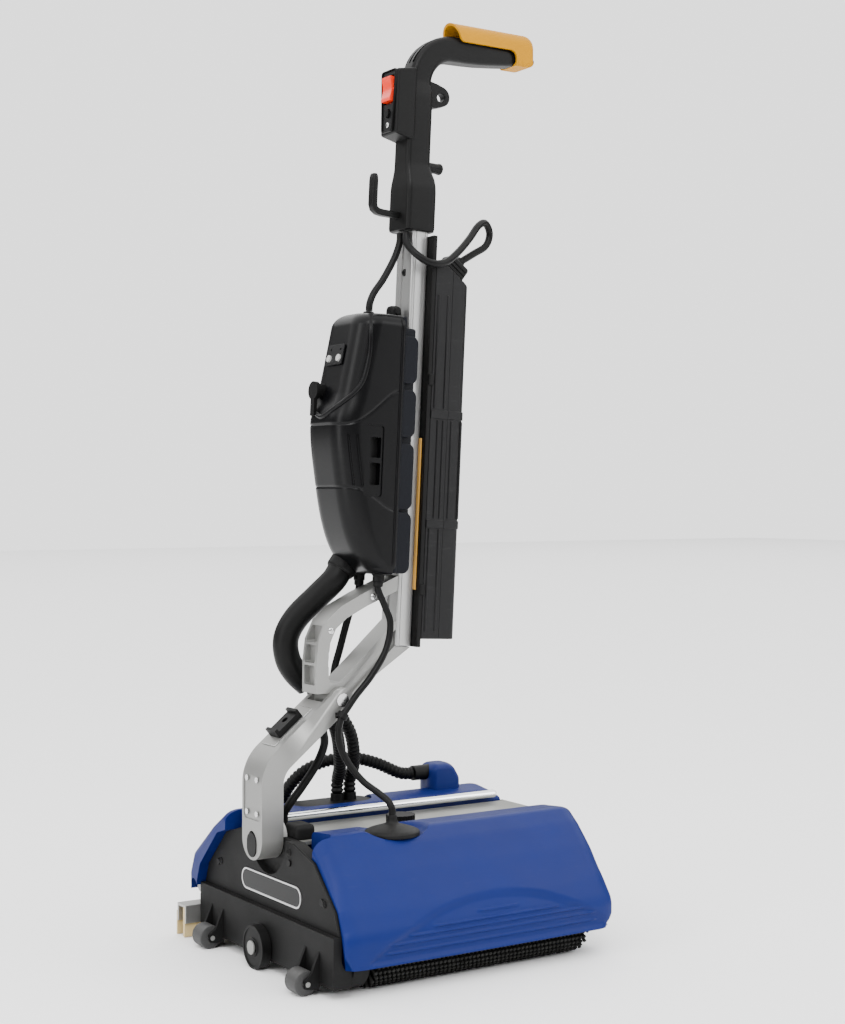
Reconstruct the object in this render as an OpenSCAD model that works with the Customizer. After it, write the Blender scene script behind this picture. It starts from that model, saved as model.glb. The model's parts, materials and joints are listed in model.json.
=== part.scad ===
// Walk-behind floor scrubber: two cylinder brushes under two tanks, and a folding pole handle with a battery.
// Millimetres, +Z up, floor at z = 0, front at -Y, grip pointing to +X.

/* [Head] */
// How far the left cover stands out from the chassis
cover_t = 22; // [18:1:26]
// Depth of the side covers, front to back
cover_d = 328; // [324:1:336]
// Top of the side covers
cover_top = 152; // [150:1:158]
// Lowest edge of the side covers
cover_bottom = 12; // [8:1:16]
// Top of the covers' lower band
band_top = 68; // [62:1:74]
// Step from the lower band in to the upper panel
panel_step = 7; // [4:1:8]
// Wall of the side covers
cover_wall = 3; // [2:0.5:3.5]
// Distance over the chassis end plates
chassis_w = 356; // [352:1:358]
// Thickness of the chassis plates
plate_t = 4; // [3:0.5:5]
// Height of the deck's top face
deck_z = 150; // [148:1:152]
// Half depth of the deck between the tanks
deck_half = 48; // [44:1:49]

/* [Brushes] */
// Distance from the middle of the head forward to the front brush axis
front_brush_y = 131; // [127:1:132]
// Distance from the middle of the head back to the rear brush axis
rear_brush_y = 122; // [118:1:123]
// Radius over the bristles
brush_r = 36; // [32:0.5:36]
// Room between the bristles and each end plate
brush_end = 28; // [24:1:34]
// Radius of the brush core
core_r = 17; // [14:0.5:19]
// Radius of the brush shafts
shaft_r = 8; // [6:0.5:9]
// Inner radius of the brush tunnels
tunnel_r = 38; // [37:0.5:38]
// Wall of the brush tunnels
tunnel_wall = 2; // [1.5:0.25:2]
// Tufts around a brush
tufts_round = 14; // [10:2:16]
// Tufts along a brush
tufts_long = 22; // [16:2:24]

/* [Drive] */
// Radius of the brush pulleys
pulley_r = 17; // [15:0.5:17.5]
// Radius of the motor and idler pulleys
small_pulley_r = 12; // [10:0.5:13]
// Width of the pulleys
pulley_w = 8; // [6:0.5:8]
// Thickness of the drive belt
belt_t = 2; // [1.5:0.5:2.5]
// Radius of the brush motor
motor_r = 34; // [28:1:38]
// Length of the brush motor
motor_l = 190; // [140:2:220]
// Height of the motor axis
motor_z = 80; // [78:1:84]

/* [Tanks] */
// Room between the tanks and each end plate's outer face
tank_end = 4.4; // [4:0.2:8]
// How far the rear tank reaches out past the left cover
tank_over = 5; // [2:1:8]
// Rounding of the front tank's ends
tank_corner = 20; // [14:1:22]
// Rounding of the tank edges
tank_round = 14; // [10:1:16]
// Wall of the tanks
tank_wall = 4; // [3:0.5:5]
// How far the front tank reaches forward
front_reach = 177; // [176:1:184]
// Top of the front tank
front_tank_top = 164; // [160:1:170]
// How far the rear tank reaches back
rear_reach = 192; // [186:1:192]
// Top of the rear tank
rear_tank_top = 168; // [164:1:174]
// Radius of the round bung
bung_r = 30; // [26:1:32]
// Radius of the filler cap
filler_r = 17.5; // [15:0.5:19]
// Radius of the deck rail
rail_r = 5; // [4:0.5:5]

/* [Wheels] */
// Radius of the centre wheels
wheel_r = 25; // [22:0.5:28]
// Thickness of the centre wheels
wheel_t = 12; // [8:0.5:14]
// Radius of the edge rollers
roller_r = 14; // [11:0.5:15]
// Length of the edge rollers
roller_l = 25; // [20:0.5:30]
// Distance of the edge rollers from the middle
roller_y = 117; // [100:1:130]
// Radius of the roller axles
axle_r = 3; // [2:0.25:4]

/* [Squeegee] */
// Length of the squeegee
squeegee_w = 438; // [420:2:446]
// Depth of the squeegee channel
squeegee_d = 24; // [20:1:26]
// Top of the squeegee channel
squeegee_top = 40; // [36:1:41]
// Wall of the squeegee channel
squeegee_wall = 3; // [2:0.5:4]
// Thickness of the squeegee blades
blade_t = 2.5; // [2:0.25:3.5]

/* [Arm] */
// Height of the tilt axis
tilt_z = 150; // [149:1:152]
// Depth of the arm, front to back
arm_d = 49; // [44:1:52]
// Thickness of the arm
arm_t = 28; // [24:1:28]
// Radius of the tilt pin
tilt_pin_r = 9; // [7:0.5:11]
// Height where the arm bends
bend_z = 231; // [226:1:236]
// Radius of the arm's bend
bend_r = 40; // [32:1:46]
// Radius of the fold pin
fold_pin_r = 5; // [4:0.25:6]

/* [Handle] */
// Lean of the pole towards the grip, in degrees
pole_lean = 2.9; // [2:0.1:3.4]
// Width of the pole
pole_w = 22; // [20:1:24]
// Depth of the pole, front to back
pole_d = 36; // [32:1:36]
// Wall of the pole
pole_wall = 2.5; // [2:0.25:3.5]
// How much longer the pole is than the battery
pole_over = 79; // [74:1:86]
// Half depth of the cast handle frame
frame_half = 17; // [14:0.5:17]
// Width of the handle frame's ring limbs
ring_w = 16; // [13:0.5:18]
// Width of the handle frame's lower limb
limb_w = 28; // [24:1:29]
// Radius of the hole in the hanging lug
eye_r = 4; // [3:0.25:5]
// Radius of the cord peg
peg_r = 7; // [5:0.25:8]
// Length of the cord peg
peg_l = 24; // [18:1:30]
// Length of the grip lever
lever_l = 123; // [115:1:126]
// Outer radius of the grip lever
lever_r = 19; // [18.5:0.25:20]
// Wall of the grip lever
lever_wall = 3; // [2:0.25:3]

/* [Vacuum box] */
// Half width of the vacuum box
box_half = 46; // [42:0.5:47]
// Wall of the vacuum box
box_wall = 3; // [2:0.25:4]
// Rounding of the vacuum box cover
box_round = 14; // [10:0.5:18]
// Radius of the suction motor
suction_r = 29; // [24:0.5:30]

/* [Battery] */
// Half width of the battery
battery_half = 30; // [28:0.5:34]
// Thickness of the battery
battery_t = 50; // [44:1:56]
// Length of the battery
battery_l = 456; // [440:1:462]
// Wall of the battery shells
battery_wall = 2.5; // [2:0.25:3.5]
// Thickness of the battery plate
battery_plate_t = 6; // [4:0.5:8]

/* [Hidden] */
$fn = 48;

// Clearances
run = 0.06;       // running fit of a pin in its bore
gap = 0.4;        // between faces of different pieces
free = 1;         // around pieces that swing past each other
far = 400;        // longer than any cut needs

// Head places
brush_z = brush_r;
plate_x = chassis_w / 2;
cover_x = plate_x + cover_t;
brush_l = chassis_w - 2 * brush_end;
tank_half = plate_x - tank_end;
rear_half = tank_half - 0.6;
tank_front_half = plate_x - gap;
rear_tank_x = cover_x + tank_over;
panel_x = cover_x - panel_step;
cap_half = 144;
tunnel_out = tunnel_r + tunnel_wall;
tilt_pin_x = plate_x - 28;
roller_x = cover_x + roller_r + 0.5;
bung_at = [-77, -86];
bung_floor = deck_z + 1;
bung_neck = 25;
filler_at = [-24, -20];
recess_at = [-60, 92];
recess_half = [59, 24];
recess_floor = rear_tank_top - 6;
socket_x = [-29, -47];
socket_top = 173.5;
inlet_at = [85, 95, 188];
gland_at = [-plate_x + 18, 22];
rail_y = deck_half - rail_r - 0.5;
rail_ends = [-plate_x + 28, plate_x - 18];
tank_sag = 4;
tank_lip = -cover_d / 2 + cover_wall - 0.6;
lip_half = tank_front_half - 2;
bumper_r = 9;
bumper_y = cover_d / 2 + bumper_r + gap;
bumper_z = 62;
cover_screws = [[127, 99], [52, 129]];

// Squeegee places
squeegee_y = cover_d / 2 + 2;
back_y = squeegee_y + squeegee_d;
hinge_y = squeegee_y + 6;
hinge_z = squeegee_top + 7;
lug_x = cover_x - 14;
lug_half = 3;
hose_x = -90;
hose_y = squeegee_y + squeegee_d / 2;

// The frame's origin is under the middle of the whole machine
mid_x = (roller_x + roller_r - squeegee_w / 2) / 2;
mid_y = (front_reach - back_y - blade_t) / 2;

// Drive places: the idler nips the belt against the rear brush pulley
nip = pulley_r + small_pulley_r + belt_t + 2 * gap;
idler_y = rear_brush_y - nip * cos(41);
idler_z = brush_z + nip * sin(41);
pulley_x = plate_x + 2;

// Arm places: the tilt axis lies along X, the fold axis along Y
arm_x = -(plate_x + 7.5 + arm_t / 2);
recess_x = plate_x + 6.5;
recess_r = 42.5;
cap_t = 3;
bush_r = 20;
fold_x = -108;
fold_z = 305;
fold_boss = 15;
arm_dir = [fold_x - arm_x, fold_z - bend_z] / norm([fold_x - arm_x, fold_z - bend_z]);
arm_turn = atan2(arm_dir[0], arm_dir[1]);
bend_run = bend_r * tan(arm_turn / 2);
slot_half = frame_half + gap;
latch_at = 62;
cap_r = 11;
cap_z = tilt_z - 10;
cap_rise = 6;
hose_clip = [-89, 46, 293];
hose_clip_turn = 130;
tube_clip = [-112, -33, 288];
tube_clip_turn = 33;

// Handle places, some in the leaning frame of the pole
pole_x = -16;
pole_z = 418;
pole_foot = -55;
pole_l = battery_l + pole_over;
pole_top = pole_foot + pole_l;
column_foot = pole_top - 33;
side_x = pole_w / 2;
housing_x = -42;
switch_z = 604;
rocker_z = 616;
button_z = 587;
eye_x = 44;
eye_z = 1034;
peg_z = 531;
neck_z = 1095;
neck_half = 14;
bend_x = 61;
bend_centre_z = 1045;
bend_foot = 628;
column_mid = 11;
hook_x = -63;
hook_half = 6;
hook_z = column_foot + 11;
rocker_pin_r = 1.5;
lever_x1 = 180;
lever_x0 = lever_x1 - lever_l;
lever_top = 1129;
lever_pin_x = 168;
cheek_x = lever_pin_x - 18;
lever_pin_z = 1096;
lever_pin_r = 3;

// Vacuum box outline in the pole's frame, as [distance from the pole, height] down its outer face
box_seam = -36;
box_top = 340;
box_foot = 31;
box_face = [[-91, box_top], [-108, 243], [-117, 207], [-106, 133], [-94, 85], [-79, 54], [-56, box_foot]];
box_stub = [-42, 22];
panel_at = [-99.5, 288];
panel_tilt = 10;
panel_button_y = 11;
latch_y = 18;
latch_z = 246;
fan_z = 150;
fan_room = 26;
suction_l = 80;
suction_x = -70;
knob_x = box_seam + 13;

// Battery places in the pole's frame
battery_x = side_x + battery_plate_t;
battery_foot = -45;
shoulder = 37;
shoulder_drop = 26;
battery_top = battery_foot + battery_l;
battery_plate_l = battery_l + 42;
strip_z = [17, 197];
cell_count = 6;
cell_l = (battery_l - shoulder_drop - 2 * battery_wall - 17) / cell_count;
battery_seam = battery_x + battery_t / 2;
band_z = [94, 227];
band_h = 10;
band_proud = 1.2;

// Routes of the cables and hoses, before the shift to the machine's middle
box_cable_r = 4.25;
cable_top = pole_z + column_foot - 2;
box_cable_path = [
    [-12, 0, cable_top], [-13, 0, cable_top - 12], [-21, 0, cable_top - 32], [-36, 0, 806], [-49, 0, 789],
    [-55, 0, 776], [-56, 0, 766.4]
];
battery_cable_r = 4.5;
battery_cable_path = [
    [-10, -11, cable_top], [-12, -15, cable_top - 13], [-8, -28, cable_top - 27], [8, -36, cable_top - 38],
    [30, -36, cable_top - 36], [54, -28, cable_top - 21], [78, -18, cable_top - 1], [97, -9, cable_top + 17],
    [112, -3, cable_top + 23], [121, 0, cable_top + 11], [115, 0, cable_top - 5], [97, 0, cable_top - 16],
    [78, 0, cable_top - 27]
];
frame_cable_r = 4.5;
frame_gland = [-91, 327];
frame_cable_path = [
    [-57, 22, 441], [-57, 22, 433], [-60, 25, 421], [-66, 28, 405], [-73, 29, 382], [-80, 29.5, 358],
    [-86, 29, 341], [-90, 26, 329], [frame_gland[0], 23, frame_gland[1]], [frame_gland[0], 19.4, frame_gland[1]]
];
water_tube_r = 4;
upper_water_path = [
    [-57, -22, 441], [-57, -22, 433], [-50, -26, 413], [-44, -29, 392], [-52, -32, 362], [-72, -33, 333],
    [-94, -33, 310], [-111, -33, 289.2]
];
lower_water_path = [
    [-113, -33, 286.6], [-118, -34, 273], [-118, -37, 254], [-110, -45, 232], [-98, -57, 213], [-86, -70, 201],
    [-79, -81, 192], [bung_at[0], bung_at[1], 183], [bung_at[0], bung_at[1], bung_floor + bung_neck + gap]
];
hose_r = 8;
tube_step = 12;
rib_depth = 1.6;
rib_pitch = 6;
upper_vacuum_path = [[-112.5, 47.8, 316.6], [-106, 48, 308.5], [-98, 47, 300.5], [-90.2, 46.2, 294]];
lower_vacuum_path = [
    [-87.8, 45.8, 292], [-79, 45, 285], [-64, 46, 270], [-52, 50, 252], [-42, 60, 230], [-33, 76, 208],
    [-29, 90, 193], [-29, 92, 184], [-29, 92, 179], [-29, 92, socket_top + 0.7]
];
conduit_path = [
    [-101, 15, 281], [-94, 18, 270], [-82, 30, 252], [-68, 50, 230], [-56, 70, 209], [-48, 88, 194],
    [-47, 92, 185], [-47, 92, 179], [-47, 92, socket_top + 0.7]
];
motor_cable_r = 5;
motor_cable_path = [
    [-117, 8, 276], [-113, 11, 264], [-110, 14, 248], [-119, 17, 225], [-138, 18, 200], [-154, 18, 182],
    [gland_at[0], 21, 171], [gland_at[0], 22, 164], [gland_at[0], 22, 160], [gland_at[0], 22, deck_z + 6.6]
];
squeegee_hose_path = [
    [65.4, 95, 188], [46, 95, 190.5], [14, 98, 205], [-20, 102, 214], [-52, 112, 211], [-78, 128, 196],
    [-90, 150, 168], [hose_x, 170, 134], [hose_x, hose_y + 1, 100], [hose_x, hose_y, 72],
    [hose_x, hose_y, squeegee_top + 8.6]
];
elbow_r = 15.5;
elbow_turn = 217;
cuff_l = 24;
elbow_path = [
    [-84, 24, 453], [-92, 24, 442.5], [-109, 34, 423], [-131, 45, 398], [-142, 50, 374], [-140, 50, 350],
    [-129, 50, 332], [-114, 48, 318]
];

// Curve and sweep functions
function unit(v) = v / norm(v);
function curve_point(a, b, c, d, t) =
    0.5 * (2 * b + (c - a) * t + (2 * a - 5 * b + 4 * c - d) * t * t + (3 * b - a - 3 * c + d) * t * t * t);
function curve(p, k = 8) = concat(
    [for (i = [0 : len(p) - 2], j = [0 : k - 1])
        curve_point(p[max(i - 1, 0)], p[i], p[i + 1], p[min(i + 2, len(p) - 1)], j / k)],
    [p[len(p) - 1]]);
function run_lengths(p, i = 0, sums = [0]) =
    i >= len(p) - 1 ? sums : run_lengths(p, i + 1, concat(sums, [sums[i] + norm(p[i + 1] - p[i])]));
function curve_length(p) = let (s = run_lengths(curve(p))) s[len(s) - 1];
function spread(p, n) =
    let (c = curve(p), s = run_lengths(c), total = s[len(s) - 1])
    [for (i = [0 : n - 1])
        [for (k = [0 : 2]) lookup(total * i / (n - 1), [for (j = [0 : len(c) - 1]) [s[j], c[j][k]]])]];
function tangent(p, i) = unit(p[min(i + 1, len(p) - 1)] - p[max(i - 1, 0)]);
// Each end ring of a tube faces along the route's own end
function route_tangent(path, p, i) =
    i == 0 ? unit(path[1] - path[0])
    : i == len(p) - 1 ? unit(path[len(path) - 1] - path[len(path) - 2])
    : tangent(p, i);
function ring(c, t, r, sides, side_dir) =
    let (u = unit(cross(side_dir, t)), v = cross(t, u))
    [for (j = [0 : sides - 1]) c + r * (cos(360 * j / sides) * u + sin(360 * j / sides) * v)];
function wall_faces(rings, sides, first, flip) =
    [for (i = [0 : rings - 2], j = [0 : sides - 1])
        let (a = first + i * sides + j, b = first + i * sides + (j + 1) % sides, c = a + sides, d = b + sides)
        each flip ? [[a, d, c], [a, b, d]] : [[a, c, d], [a, d, b]]];

// Flat outline with every corner rounded to radius r
function fillet(p, r, n = 5) = [
    for (i = [0 : len(p) - 1])
        let (b = p[i], u = unit(p[(i + len(p) - 1) % len(p)] - b), v = unit(p[(i + 1) % len(p)] - b),
             h = acos(u * v) / 2, o = b + unit(u + v) * r / sin(h),
             s = b + u * r / tan(h), e = b + v * r / tan(h))
        for (k = [0 : n]) o + unit((s - o) * (1 - k / n) + (e - o) * k / n) * r];

// Outline of a band of width w along a flat path
function band_side(p, i) = let (t = unit(p[min(i + 1, len(p) - 1)] - p[max(i - 1, 0)])) [-t[1], t[0]];
function band(p, w) = concat(
    [for (i = [0 : len(p) - 1]) p[i] + band_side(p, i) * w / 2],
    [for (i = [len(p) - 1 : -1 : 0]) p[i] - band_side(p, i) * w / 2]);

// Side cover outlines in [Y, Z], grown by e: the whole cover, and its upper panel alone
function slope_half(e) = [
    [cover_d / 2 - 9 + e, band_top + 24 + e], [cover_d / 2 - 56 + e, cover_top - 14 + e],
    [62 + e, cover_top + e]
];
function both_halves(h) = concat(h, [for (i = [len(h) - 1 : -1 : 0]) [-h[i][0], h[i][1]]]);
function cover_outline(e) = both_halves(concat(
    [[cover_d / 2 + e, cover_bottom - e], [cover_d / 2 + e, band_top + e]], slope_half(e)));
function cap_outline(e) = both_halves([
    [cap_half + e, 24 - e], [cap_half + e, band_top - 4 + e], [cap_half - 13 + e, band_top + 22 + e],
    [cap_half - 46 + e, cover_top - 18 + e], [cap_half - 88 + e, cover_top - 3 + e]]);
function panel_outline(e) = both_halves(concat([[cover_d / 2 + e, band_top + 2 * e]], slope_half(e)));

// Arm centreline in [X, Z]
function arm_path() = concat(
    [[arm_x, tilt_z - arm_d], [arm_x, bend_z - bend_run]],
    [for (a = [6 : 6 : arm_turn - 3])
        [arm_x + bend_r - bend_r * cos(a), bend_z - bend_run + bend_r * sin(a)]],
    [[arm_x, bend_z] + arm_dir * bend_run, [fold_x, fold_z]]);

// Placing helpers
module at_mid() { translate([mid_x, mid_y, 0]) children(); }
module on_pole() { at_mid() translate([pole_x, 0, pole_z]) rotate([0, pole_lean, 0]) children(); }
module on_panel() { on_pole() translate([panel_at[0], 0, panel_at[1]]) rotate([0, panel_tilt, 0]) children(); }
module along_x(x0, x1, r, y, z) { translate([x0, y, z]) rotate([0, 90, 0]) cylinder(r = r, h = x1 - x0); }
module along_y(y0, y1, r, x, z) { translate([x, y0, z]) rotate([-90, 0, 0]) cylinder(r = r, h = y1 - y0); }
module profile_x(x0, x1) { translate([x0, 0, 0]) rotate([90, 0, 90]) linear_extrude(x1 - x0) children(); }
module profile_y(y0, y1) { translate([0, y1, 0]) rotate([90, 0, 0]) linear_extrude(y1 - y0) children(); }
module block(x0, x1, y0, y1, z0, z1) { translate([x0, y0, z0]) cube([x1 - x0, y1 - y0, z1 - z0]); }
module both_sides() { children(); mirror([1, 0, 0]) children(); }
module both_ends() { children(); mirror([0, 1, 0]) children(); }
module at_brushes() { for (y = [-front_brush_y, rear_brush_y]) translate([0, y, brush_z]) children(); }

// Swept pieces
module tube(path, r, sides = 8, side_dir = [0, 1, 0]) {
    n = max(6, ceil(curve_length(path) / tube_step));
    p = spread(path, n);
    last = (n - 1) * sides;
    polyhedron(
        points = [for (i = [0 : n - 1]) each ring(p[i], route_tangent(path, p, i), r, sides, side_dir)],
        faces = concat(
            wall_faces(n, sides, 0, false),
            [for (j = [1 : sides - 2]) [0, j, j + 1]],
            [for (j = [1 : sides - 2]) [last, last + j + 1, last + j]]),
        convexity = 6);
}

module ribbed_hose(path, r, side_dir) {
    sides = 8;
    ribs = round(curve_length(path) / rib_pitch);
    n = 2 * ribs + 1;
    m = ceil(ribs / 2) + 1;
    p = spread(path, n);
    q = spread(path, m);
    inner = n * sides;
    last = (n - 1) * sides;
    inner_last = inner + (m - 1) * sides;
    polyhedron(
        points = concat(
            [for (i = [0 : n - 1])
                each ring(p[i], tangent(p, i), i % 2 == 0 ? r - rib_depth : r, sides, side_dir)],
            [for (i = [0 : m - 1]) each ring(q[i], tangent(q, i), r - 2 * rib_depth, sides, side_dir)]),
        faces = concat(
            wall_faces(n, sides, 0, false),
            wall_faces(m, sides, inner, true),
            [for (j = [0 : sides - 1]) let (k = (j + 1) % sides)
                each [[j, k, inner + k], [j, inner + k, inner + j]]],
            [for (j = [0 : sides - 1]) let (k = (j + 1) % sides)
                each [[last + j, inner_last + k, last + k], [last + j, inner_last + j, inner_last + k]]]),
        convexity = 8);
}

// Bristle sleeve: every other cell of a wound grid stands up as a four-sided tuft
module bristles(y, hand) {
    root_r = core_r + 5;
    bore_r = (core_r + gap) / cos(180 / tufts_round);
    cols = tufts_round;
    rows = tufts_long;
    step = brush_l / rows;
    turn = hand * 180 / rows;
    tip = 0.3;
    function skin(i, j, r) =
        let (a = 360 * j / cols + turn * i) [i * step - brush_l / 2, r * cos(a), r * sin(a)];
    function cell(i, j) = i * cols + j % cols;
    function tuft(i, j) = (i + j) % 2 == 0;
    base = (rows + 1) * cols;
    tufts = [for (i = [0 : rows - 1], j = [0 : cols - 1]) if (tuft(i, j)) [i, j]];
    bore = base + 4 * len(tufts);
    far_bore = bore + cols;
    end = rows * cols;
    translate([0, y, brush_z]) polyhedron(
        points = concat(
            [for (i = [0 : rows], j = [0 : cols - 1]) skin(i, j, root_r)],
            [for (t = tufts) each [
                skin(t[0] + tip, t[1] + tip, brush_r), skin(t[0] + tip, t[1] + 1 - tip, brush_r),
                skin(t[0] + 1 - tip, t[1] + 1 - tip, brush_r), skin(t[0] + 1 - tip, t[1] + tip, brush_r)]],
            [for (j = [0 : cols - 1]) skin(0, j, bore_r)],
            [for (j = [0 : cols - 1]) skin(rows, j, bore_r)]),
        faces = concat(
            [for (i = [0 : rows - 1], j = [0 : cols - 1]) if (!tuft(i, j))
                let (a = cell(i, j), b = cell(i, j + 1), c = cell(i + 1, j), d = cell(i + 1, j + 1))
                each [[a, c, d], [a, d, b]]],
            [for (n = [0 : len(tufts) - 1])
                let (i = tufts[n][0], j = tufts[n][1], s = base + 4 * n,
                     lower = [cell(i, j), cell(i, j + 1), cell(i + 1, j + 1), cell(i + 1, j)])
                each concat(
                    [for (k = [0 : 3]) let (m = (k + 1) % 4)
                        each [[lower[k], s + k, s + m], [lower[k], s + m, lower[m]]]],
                    [[s, s + 2, s + 1], [s, s + 3, s + 2]])],
            [for (j = [0 : cols - 1]) let (k = (j + 1) % cols)
                each [[j, k, bore + k], [j, bore + k, bore + j]]],
            [for (j = [0 : cols - 1]) let (k = (j + 1) % cols)
                each [[end + j, far_bore + k, end + k], [end + j, far_bore + j, far_bore + k]]],
            [for (j = [0 : cols - 1])
                let (k = (j + 1) % cols, m = (j + cols / 2) % cols, n = (m + 1) % cols)
                each [[bore + j, far_bore + n, far_bore + m], [bore + j, bore + k, far_bore + n]]]),
        convexity = 10);
}

// Head pieces
module chassis() {
    color("darkgray") at_mid() difference() {
        union() {
            profile_x(-plate_x, -plate_x + plate_t) polygon(cover_outline(-cover_wall - gap));
            profile_x(plate_x - plate_t, plate_x) polygon(cap_outline(-2));
            block(-plate_x, plate_x, -deck_half, deck_half, deck_z - plate_t, deck_z);
            block(-plate_x, plate_x, -deck_half, deck_half, 30, 30 + plate_t);
        }
        at_brushes() along_x(-far, far, shaft_r + 5, 0, 0);
        translate([filler_at[0], filler_at[1], 0]) cylinder(r = filler_r - 5 + run, h = far);
        along_x(-far, -tilt_pin_x, tilt_pin_r, 0, tilt_z);
        translate([bung_at[0], bung_at[1], deck_z - plate_t - 1]) cylinder(r = bung_r + 3, h = far);
        along_x(-far, 0, 8, 0, motor_z);
        along_x(-far, 0, 5, idler_y, idler_z);
    }
}

// Tunnels over the brushes, with a bearing housing at the drive end of each
module brush_tunnel() {
    color([0.16, 0.16, 0.16]) at_mid() at_brushes() {
        difference() {
            along_x(-plate_x + plate_t, plate_x - plate_t, tunnel_r + tunnel_wall, 0, 0);
            along_x(-far, far, tunnel_r, 0, 0);
            block(-far, far, -far, far, -far, 4);
        }
        difference() {
            along_x(-plate_x + plate_t, -brush_l / 2 - 4, brush_r - 3, 0, 0);
            along_x(-far, far, shaft_r + 1, 0, 0);
        }
    }
}

module left_cover() {
    inner_d = cover_d - 2 * cover_wall;
    color([0.16, 0.16, 0.155]) at_mid() mirror([1, 0, 0]) difference() {
        union() {
            difference() {
                union() {
                    block(plate_x, cover_x, -cover_d / 2, cover_d / 2, cover_bottom, band_top);
                    profile_x(plate_x, panel_x) polygon(panel_outline(0));
                }
                block(0, cover_x - cover_wall, -inner_d / 2, inner_d / 2,
                    cover_bottom + cover_wall, band_top - cover_wall);
                profile_x(0, panel_x - cover_wall) polygon(panel_outline(-cover_wall - 0.5));
                along_x(recess_x - cover_wall / 2, far, recess_r + cover_wall / 2, 0, tilt_z);
            }
            difference() {
                along_x(recess_x - cover_wall, panel_x, recess_r + cover_wall, 0, tilt_z);
                along_x(recess_x, far, recess_r, 0, tilt_z);
                block(0, far, -far, far, cover_top, far);
            }
            along_x(pulley_x + pulley_w + 0.6, cover_x - 1, 10, 0, wheel_r);
            hinge_lug();
        }
        along_x(0, far, bush_r + gap, 0, tilt_z);
        along_x(0, far, 5, 0, wheel_r);
        along_x(0, far, axle_r, hinge_y, hinge_z);
    }
}

module hinge_lug() {
    block(lug_x - lug_half, lug_x + lug_half, cover_d / 2 - 1, hinge_y + 5, hinge_z - 6, hinge_z + 5);
}

// The right end is closed by a flat cap that carries the other hinge lug
module right_cover() {
    color([0.16, 0.16, 0.155]) at_mid() difference() {
        union() {
            profile_x(plate_x, plate_x + cap_t) polygon(cap_outline(0));
            block(plate_x, lug_x + lug_half, cap_half - 14, cover_d / 2, hinge_z - 6, hinge_z + 5);
            hinge_lug();
            along_x(plate_x, plate_x + cap_t + 4, 10, 0, wheel_r);
        }
        along_x(0, far, 5, 0, wheel_r);
        along_x(lug_x - 20, far, axle_r, hinge_y, hinge_z);
    }
}

module axle_pins() {
    color("silver") at_mid() {
        difference() {
            along_x(arm_x - arm_t / 2 + 4, -tilt_pin_x, tilt_pin_r, 0, tilt_z);
            along_x(arm_x - arm_t / 2, arm_x - arm_t / 2 + 6, 4, 0, tilt_z);
        }
        along_x(-pulley_x - pulley_w - 1, -plate_x + plate_t, 5, idler_y, idler_z);
        mirror([1, 0, 0]) wheel_screw(cover_x);
        wheel_screw(plate_x + cap_t + 4);
        both_sides() along_x(lug_x - 9, lug_x + 9, axle_r, hinge_y, hinge_z);
        mirror([1, 0, 0]) both_ends() {
            along_y(roller_y - roller_l / 2 - 5, roller_y + roller_l / 2 + 5, axle_r, roller_x, roller_r);
            for (p = cover_screws) along_x(panel_x, panel_x + 1.6, 4, p[0], p[1]);
        }
    }
}

module wheel_screw(x) {
    along_x(plate_x + 2, x + 1 + wheel_t + gap, 5, 0, wheel_r);
    along_x(x + 1 + wheel_t + gap, x + 4 + wheel_t, 8, 0, wheel_r);
}

module bushes() {
    color("gainsboro") at_mid() {
        difference() {
            along_x(-recess_x - 0.7, -plate_x, bush_r, 0, tilt_z);
            along_x(-far, far, tilt_pin_r, 0, tilt_z);
        }
        at_brushes() for (x = [-plate_x, plate_x - plate_t]) difference() {
            along_x(x, x + plate_t, shaft_r + 5, 0, 0);
            along_x(-far, far, shaft_r + run, 0, 0);
        }
    }
}

module brush_motor() {
    color("gray") at_mid() difference() {
        union() {
            along_x(-plate_x + plate_t, -plate_x + plate_t + motor_l, motor_r, 0, motor_z);
            along_x(-plate_x + plate_t + motor_l, -plate_x + plate_t + motor_l + 16, motor_r - 9, 0, motor_z);
        }
        along_x(-far, -plate_x + plate_t + 24, 6 + run, 0, motor_z);
    }
}

module motor_pulley() {
    color("slategray") at_mid() {
        along_x(-pulley_x - pulley_w, -pulley_x, small_pulley_r, 0, motor_z);
        along_x(-pulley_x, -plate_x + plate_t + 22, 6, 0, motor_z);
    }
}

module idler_pulley() {
    color("slategray") at_mid() difference() {
        along_x(-pulley_x - pulley_w, -pulley_x, small_pulley_r, idler_y, idler_z);
        along_x(-far, far, 5 + run, idler_y, idler_z);
    }
}

module belt_loop(grow) {
    hull() {
        translate([-front_brush_y, brush_z]) circle(pulley_r + grow, $fn = 32);
        translate([0, motor_z]) circle(small_pulley_r + grow, $fn = 32);
        translate([idler_y, idler_z]) circle(small_pulley_r + grow, $fn = 32);
    }
}

module drive_belt() {
    color([0.1, 0.1, 0.1]) at_mid() profile_x(-pulley_x - pulley_w + 1, -pulley_x - 1) difference() {
        belt_loop(gap + belt_t);
        belt_loop(gap);
    }
}

module brush_core(y) {
    color("dimgray") at_mid() {
        along_x(-brush_l / 2 - 3, brush_l / 2 + 3, core_r, y, brush_z);
        along_x(-pulley_x, -brush_l / 2 - 3, shaft_r, y, brush_z);
        along_x(brush_l / 2 + 3, plate_x, shaft_r, y, brush_z);
        along_x(-pulley_x - pulley_w, -pulley_x, pulley_r, y, brush_z);
    }
}

module front_brush_core() { brush_core(-front_brush_y); }
module rear_brush_core() { brush_core(rear_brush_y); }
module front_bristles() { color([0.2, 0.2, 0.2]) at_mid() bristles(-front_brush_y, 1); }
module rear_bristles() { color([0.2, 0.2, 0.2]) at_mid() bristles(rear_brush_y, -1); }

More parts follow.
